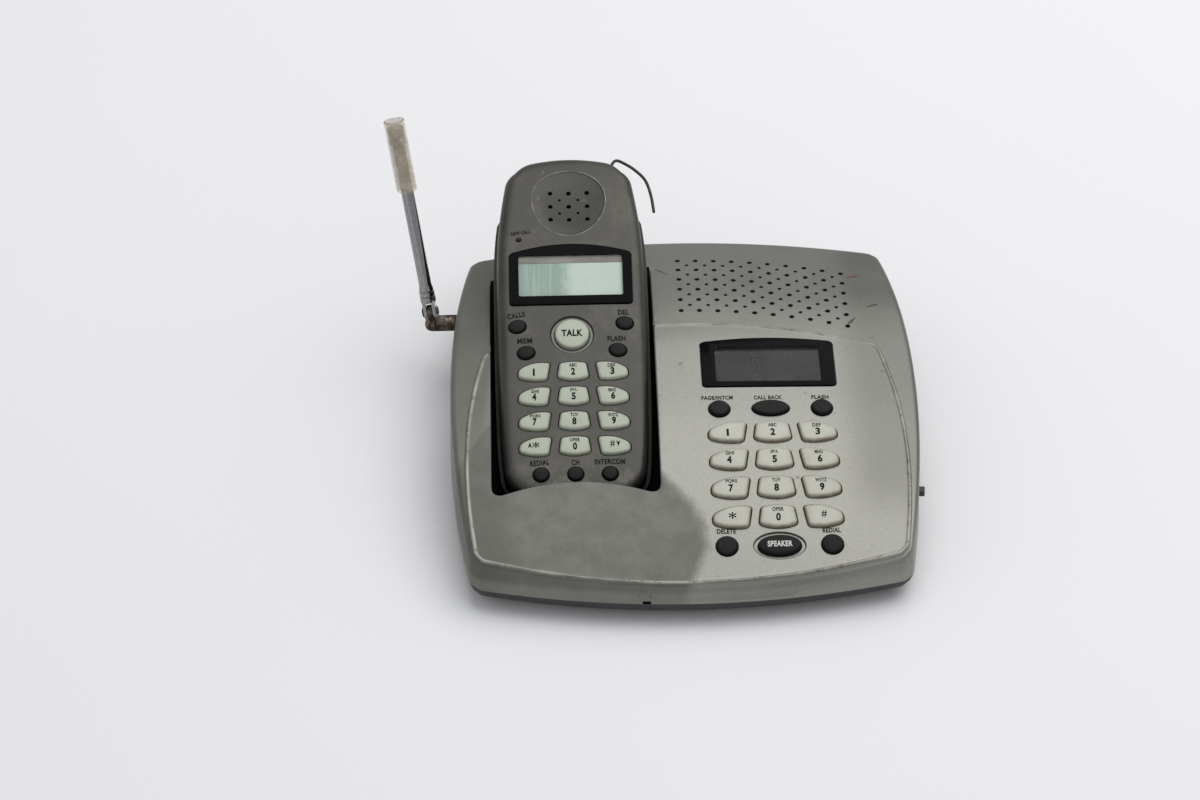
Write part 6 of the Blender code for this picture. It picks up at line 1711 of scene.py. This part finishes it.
def make_antenna():
    bm = bmesh.new()
    profile = [(0.001 * MM, FERRULE_START), (FERRULE_RADIUS - 0.2 * MM, FERRULE_START)]
    profile.append((FERRULE_RADIUS, FERRULE_START + 0.25 * MM))
    for groove in (TUBE_START - 2.1 * MM, TUBE_START + 0.2 * MM):
        wide = FERRULE_RADIUS if groove < TUBE_START else FERRULE_RADIUS - 0.12 * MM
        profile += [(wide, groove - 0.28 * MM), (wide - 0.3 * MM, groove - 0.1 * MM)]
        profile += [(wide - 0.3 * MM, groove + 0.1 * MM), (wide - 0.06 * MM, groove + 0.28 * MM)]
    profile += [(TUBE_RADIUS + 0.06 * MM, TUBE_START + 2.6 * MM), (TUBE_RADIUS, TUBE_START + 3.2 * MM)]
    profile += [(TUBE_RADIUS, TUBE_END - 0.4 * MM), (TUBE_RADIUS - 0.15 * MM, TUBE_END)]
    profile += [(TUBE_BORE, TUBE_END), (TUBE_BORE, MIDDLE_START - FIT), (0.001 * MM, MIDDLE_START - FIT)]
    turned(bm, profile, Matrix(), 48)
    outer = rough_object("antenna_outer_section", bm)
    cheeks = bmesh.new()
    offset = TONGUE / 2 + FIT + CHEEK / 2
    end = -FERRULE_START - 1.0 * MM
    shape = half_round(EYE_RADIUS, -math.pi / 2) + [(end, EYE_RADIUS * 0.9), (end, -EYE_RADIUS * 0.9)]
    quarter = Matrix.Rotation(math.pi / 2, 4, "Y")
    for side in (-1, 1):
        prism(cheeks, shape, Matrix.Translation((side * offset, 0, 0)) @ quarter, -CHEEK / 2, CHEEK / 2)
    combine(outer, "UNION", rough_object("cheeks", cheeks))
    hole = bmesh.new()
    prism(hole, oval(RIVET_RADIUS + FIT, RIVET_RADIUS + FIT, 28), quarter, -2 * offset, 2 * offset)
    combine(outer, "DIFFERENCE", rough_object("rivet_hole", hole))
    finished(outer, ANTENNA, "antenna_outer", CHROME, ["antenna_outer_tube"], 28)
    bm = bmesh.new()
    top = TUBE_END + FIT
    profile = [(0.001 * MM, MIDDLE_START), (MIDDLE_RADIUS, MIDDLE_START), (MIDDLE_RADIUS, top - 0.2 * MM)]
    profile += [(MIDDLE_RADIUS - 0.12 * MM, top), (MIDDLE_BORE, top), (MIDDLE_BORE, MIDDLE_START + 1.5 * MM)]
    profile.append((0.001 * MM, MIDDLE_START + 1.5 * MM))
    turned(bm, profile, Matrix(), 40)
    piece("antenna_middle_section", bm, ANTENNA, "antenna_middle", CHROME, ["antenna_middle_tube"])
    bm = bmesh.new()
    cap = TUBE_END + 2 * FIT
    profile = [(0.001 * MM, ROD_START), (ROD_RADIUS, ROD_START), (ROD_RADIUS, cap), (CAP_RADIUS - 0.3 * MM, cap)]
    profile += [(CAP_RADIUS, cap + 0.3 * MM), (CAP_RADIUS, cap + 2.2 * MM), (CAP_RADIUS - 0.35 * MM, cap + 2.5 * MM)]
    profile += [(CAP_RADIUS - 0.35 * MM, cap + 3.0 * MM), (CAP_RADIUS, cap + 3.3 * MM)]
    for angle in (0, 30, 60, 80):
        reach = 0.9 * MM * math.sin(angle * DEGREE)
        profile.append((CAP_RADIUS - 0.9 * MM * (1 - math.cos(angle * DEGREE)), CAP_END - 0.9 * MM + reach))
    profile.append((0.2 * MM, CAP_END))
    turned(bm, profile, Matrix(), 40)
    piece("antenna_rod_and_cap", bm, ANTENNA, "antenna_tip", CHROME, ["antenna_tip_rod"])
    bm = bmesh.new()
    profile = (
        (SLEEVE_BORE, SLEEVE_START),
        (SLEEVE_RADIUS - 0.5 * MM, SLEEVE_START),
        (SLEEVE_RADIUS, SLEEVE_START + 0.7 * MM),
        (SLEEVE_RADIUS, SLEEVE_END - 0.15 * MM),
        (SLEEVE_RADIUS - 0.15 * MM, SLEEVE_END),
        (SLEEVE_BORE, SLEEVE_END),
    )
    faces = turned(bm, profile, Matrix(), 48, True)
    for face in faces[3 * 48 : 5 * 48]:
        face.material_index = 1
    piece("antenna_tip_sleeve", bm, ANTENNA, "antenna_tip", (SLEEVE, SLEEVE_RIM), ["antenna_sleeve"])


# Small parts of the base


def make_base_details():
    spots = []
    for x, y in UNDERSIDE_SCREWS:
        place = Matrix.Translation((x * MM, y * MM, UNDERSIDE + 0.3 * MM))
        spots.append(PHONE @ place @ Matrix.Rotation(math.pi, 4, "X"))
    make_screws("underside_screws", spots, "base", 2.5 * MM)
    bm = bmesh.new()
    lying = Matrix.Rotation(POCKET_TILT, 4, "X")
    for side in (-1, 1):
        spot = Matrix.Translation((POCKET_X + side * CONTACT_X, CONTACT_Y, pocket_floor(CONTACT_Y))) @ lying
        add_soft_box(bm, (1.6 * MM, 5.0 * MM, 0.6 * MM), (0, 0, 0), 0.12 * MM, spot)
    piece("charging_contacts", bm, PHONE, "base", NICKEL)
    bm = bmesh.new()
    rear = jack_y() + JACK_SIZE[1] / 2
    middle = JACK_BASE + JACK_SIZE[2] / 2
    for k in range(4):
        x = JACK_X - 7.5 * MM + (k - 1.5) * 1.27 * MM
        path = [Vector((x, rear - 11.2 * MM, middle + 2.9 * MM)), Vector((x, rear - 4 * MM, middle + 0.6 * MM))]
        path.append(Vector((x, rear - 2.2 * MM, middle + 2.7 * MM)))
        tube_along(bm, smooth_path(path, 5), 0.22 * MM, 10)
    piece("line_contacts", bm, PHONE, "base", GOLD)
    bm = bmesh.new()
    along = side_frame(1, SLIDER_Y, SLIDER_Z)
    plate_thickness, plate_length, plate_height = SLIDER_PLATE
    inner = -BASE_WALL - 2 * FIT
    start = inner - plate_thickness / 2
    size = (SLIDER_PROUD - start, *SLIDER_KNOB)
    add_soft_box(bm, size, ((SLIDER_PROUD + start) / 2, 0, 0), 0.35 * MM)
    slider = rough_object("volume_slider_knob", bm)
    plate = bmesh.new()
    add_box(plate, (plate_thickness, plate_length, plate_height), (inner - plate_thickness / 2, 0, 0))
    combine(slider, "UNION", rough_object("plate", plate))
    ridges = bmesh.new()
    for k in (-1, 0, 1):
        add_box(ridges, (0.5 * MM, 0.3 * MM, 4 * MM), (SLIDER_PROUD, k * 0.8 * MM, 0))
    combine(slider, "DIFFERENCE", rough_object("ridges", ridges))
    finished(slider, PHONE @ along, "volume_slider", CHARCOAL, ["volume_slider"])


def dress_carried_nodes():
    """Materials of the solids that stay."""
    for node, finish in (
        ("base_display_panel", BLACK_PLASTIC),
        ("handset_display_panel", BLACK_PLASTIC),
        ("base_circuit_board", BOARD_GREEN),
        ("loudspeaker", CONE_BLACK),
        ("front_foot_strip", FOOT_RUBBER),
        ("rear_foot_strip", FOOT_RUBBER),
        ("jack_block", BLACK_PLASTIC),
        ("battery_pack", CELL_WRAP),
    ):
        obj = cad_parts[node]
        for slot in obj.material_slots:
            slot.material = finish


# Light and camera
FLOOR_REACH = 3.0
LAMP_PLACE, LAMP_SIZE, LAMP_POWER = (0.52, 0.5, 1.72), (2.1, 1.8), 25.5
ROOM_STRENGTH, BACKDROP_STRENGTH = 0.545, 0.84
CAMERA_PLACE, CAMERA_LENS = (-44.6 * MM, -1116.1 * MM, 961.7 * MM), 105
CAMERA_TURN, CAMERA_TIP, CAMERA_ROLL = -1.18 * DEGREE, 50 * DEGREE, -0.449 * DEGREE


def make_stage():
    """The pale floor, the soft lamp overhead, the dim room and the camera."""
    mesh = bpy.data.meshes.new("floor")
    far = FLOOR_REACH
    mesh.from_pydata([(-far, -far, 0), (far, -far, 0), (far, far, 0), (-far, far, 0)], [], [(0, 1, 2, 3)])
    floor = bpy.data.objects.new("floor", mesh)
    workbench.objects.link(floor)
    finish = Finish("pale_floor", (0.80, 0.81, 0.82), 0.85, 0.0, 0.1)
    finish.set("Base Color", finish.noise(3, 2).mix((0.79, 0.79, 0.80), (0.82, 0.82, 0.825)))
    mesh.materials.append(finish.material)

    lamp = bpy.data.lights.new("softbox", "AREA")
    lamp.shape = "RECTANGLE"
    lamp.size, lamp.size_y = LAMP_SIZE
    lamp.energy = LAMP_POWER
    box = bpy.data.objects.new("softbox", lamp)
    box.location = LAMP_PLACE
    box.rotation_euler = (-box.location).to_track_quat("-Z", "Y").to_euler()
    workbench.objects.link(box)

    world = bpy.data.worlds.new("room")
    bpy.context.scene.world = world
    world.use_nodes = True
    room = Graph(world.node_tree)
    background = room.tree.nodes["Background"]

    def ray(kind):
        return room.node("ShaderNodeLightPath", {}, f"Is {kind} Ray")

    def ramp(value, low, high, at_low, at_high):
        values = {"Value": value, "From Min": low, "From Max": high, "To Min": at_low, "To Max": at_high}
        return room.node("ShaderNodeMapRange", values)

    # Glossy rays see the pale backdrop only low on the left, so that the glossy parts stay dark
    x, _, z = room.axes(room.node("ShaderNodeTexCoord", {}, "Generated"))
    left = ramp(x, -0.25, 0.2, ramp(z, 0.12, 0.4, 1.0, 0.0), 0.0)
    pale = ray("Camera").math("MAXIMUM", ray("Transmission")).math("MAXIMUM", ray("Glossy") * left)
    room.feed(background.inputs["Strength"], ramp(pale, 0.0, 1.0, ROOM_STRENGTH, BACKDROP_STRENGTH))
    room.feed(background.inputs["Color"], (0.97, 0.98, 1.0, 1))

    camera = bpy.data.cameras.new("camera")
    camera.lens, camera.sensor_width = CAMERA_LENS, 36
    camera.clip_end = 20
    eye = bpy.data.objects.new("camera", camera)
    eye.matrix_world = (
        Matrix.Translation(CAMERA_PLACE)
        @ Matrix.Rotation(CAMERA_TURN, 4, "Z")
        @ Matrix.Rotation(CAMERA_TIP, 4, "X")
        @ Matrix.Rotation(CAMERA_ROLL, 4, "Z")
    )
    workbench.objects.link(eye)
    bpy.context.scene.camera = eye
    bpy.context.scene.view_settings.view_transform = "Standard"


make_base_top()
make_base_bottom()
make_base_buttons()
window = BASE_WINDOW_HALF, BASE_WINDOW_ARCH, BASE_SCREEN_HALF, 0
spot = base_window_frame()
film = display_film("base_display_film", (0.005, 0.0055, 0.005), (0.011, 0.012, 0.0105), 0.2, 0.25, PHONE @ spot)
make_display("base", *window, spot, PHONE, BASE_WALL + PANEL_RAISE, film)
make_base_details()
make_handset_front()
make_handset_back()
make_handset_buttons()
window = HANDSET_WINDOW_HALF, HANDSET_WINDOW_ARCH, HANDSET_SCREEN_HALF, HANDSET_MASK
spot = handset_window_frame()
film = display_film("handset_display_film", (0.275, 0.375, 0.325), (0.53, 0.62, 0.56), 0.3, 0.15, HANDSET @ spot)
make_display("handset", *window, spot, HANDSET, HANDSET_WALL, film)
make_handset_details()
make_labels()
make_elbow()
make_antenna()
dress_carried_nodes()
make_stage()

bpy.context.view_layer.update()
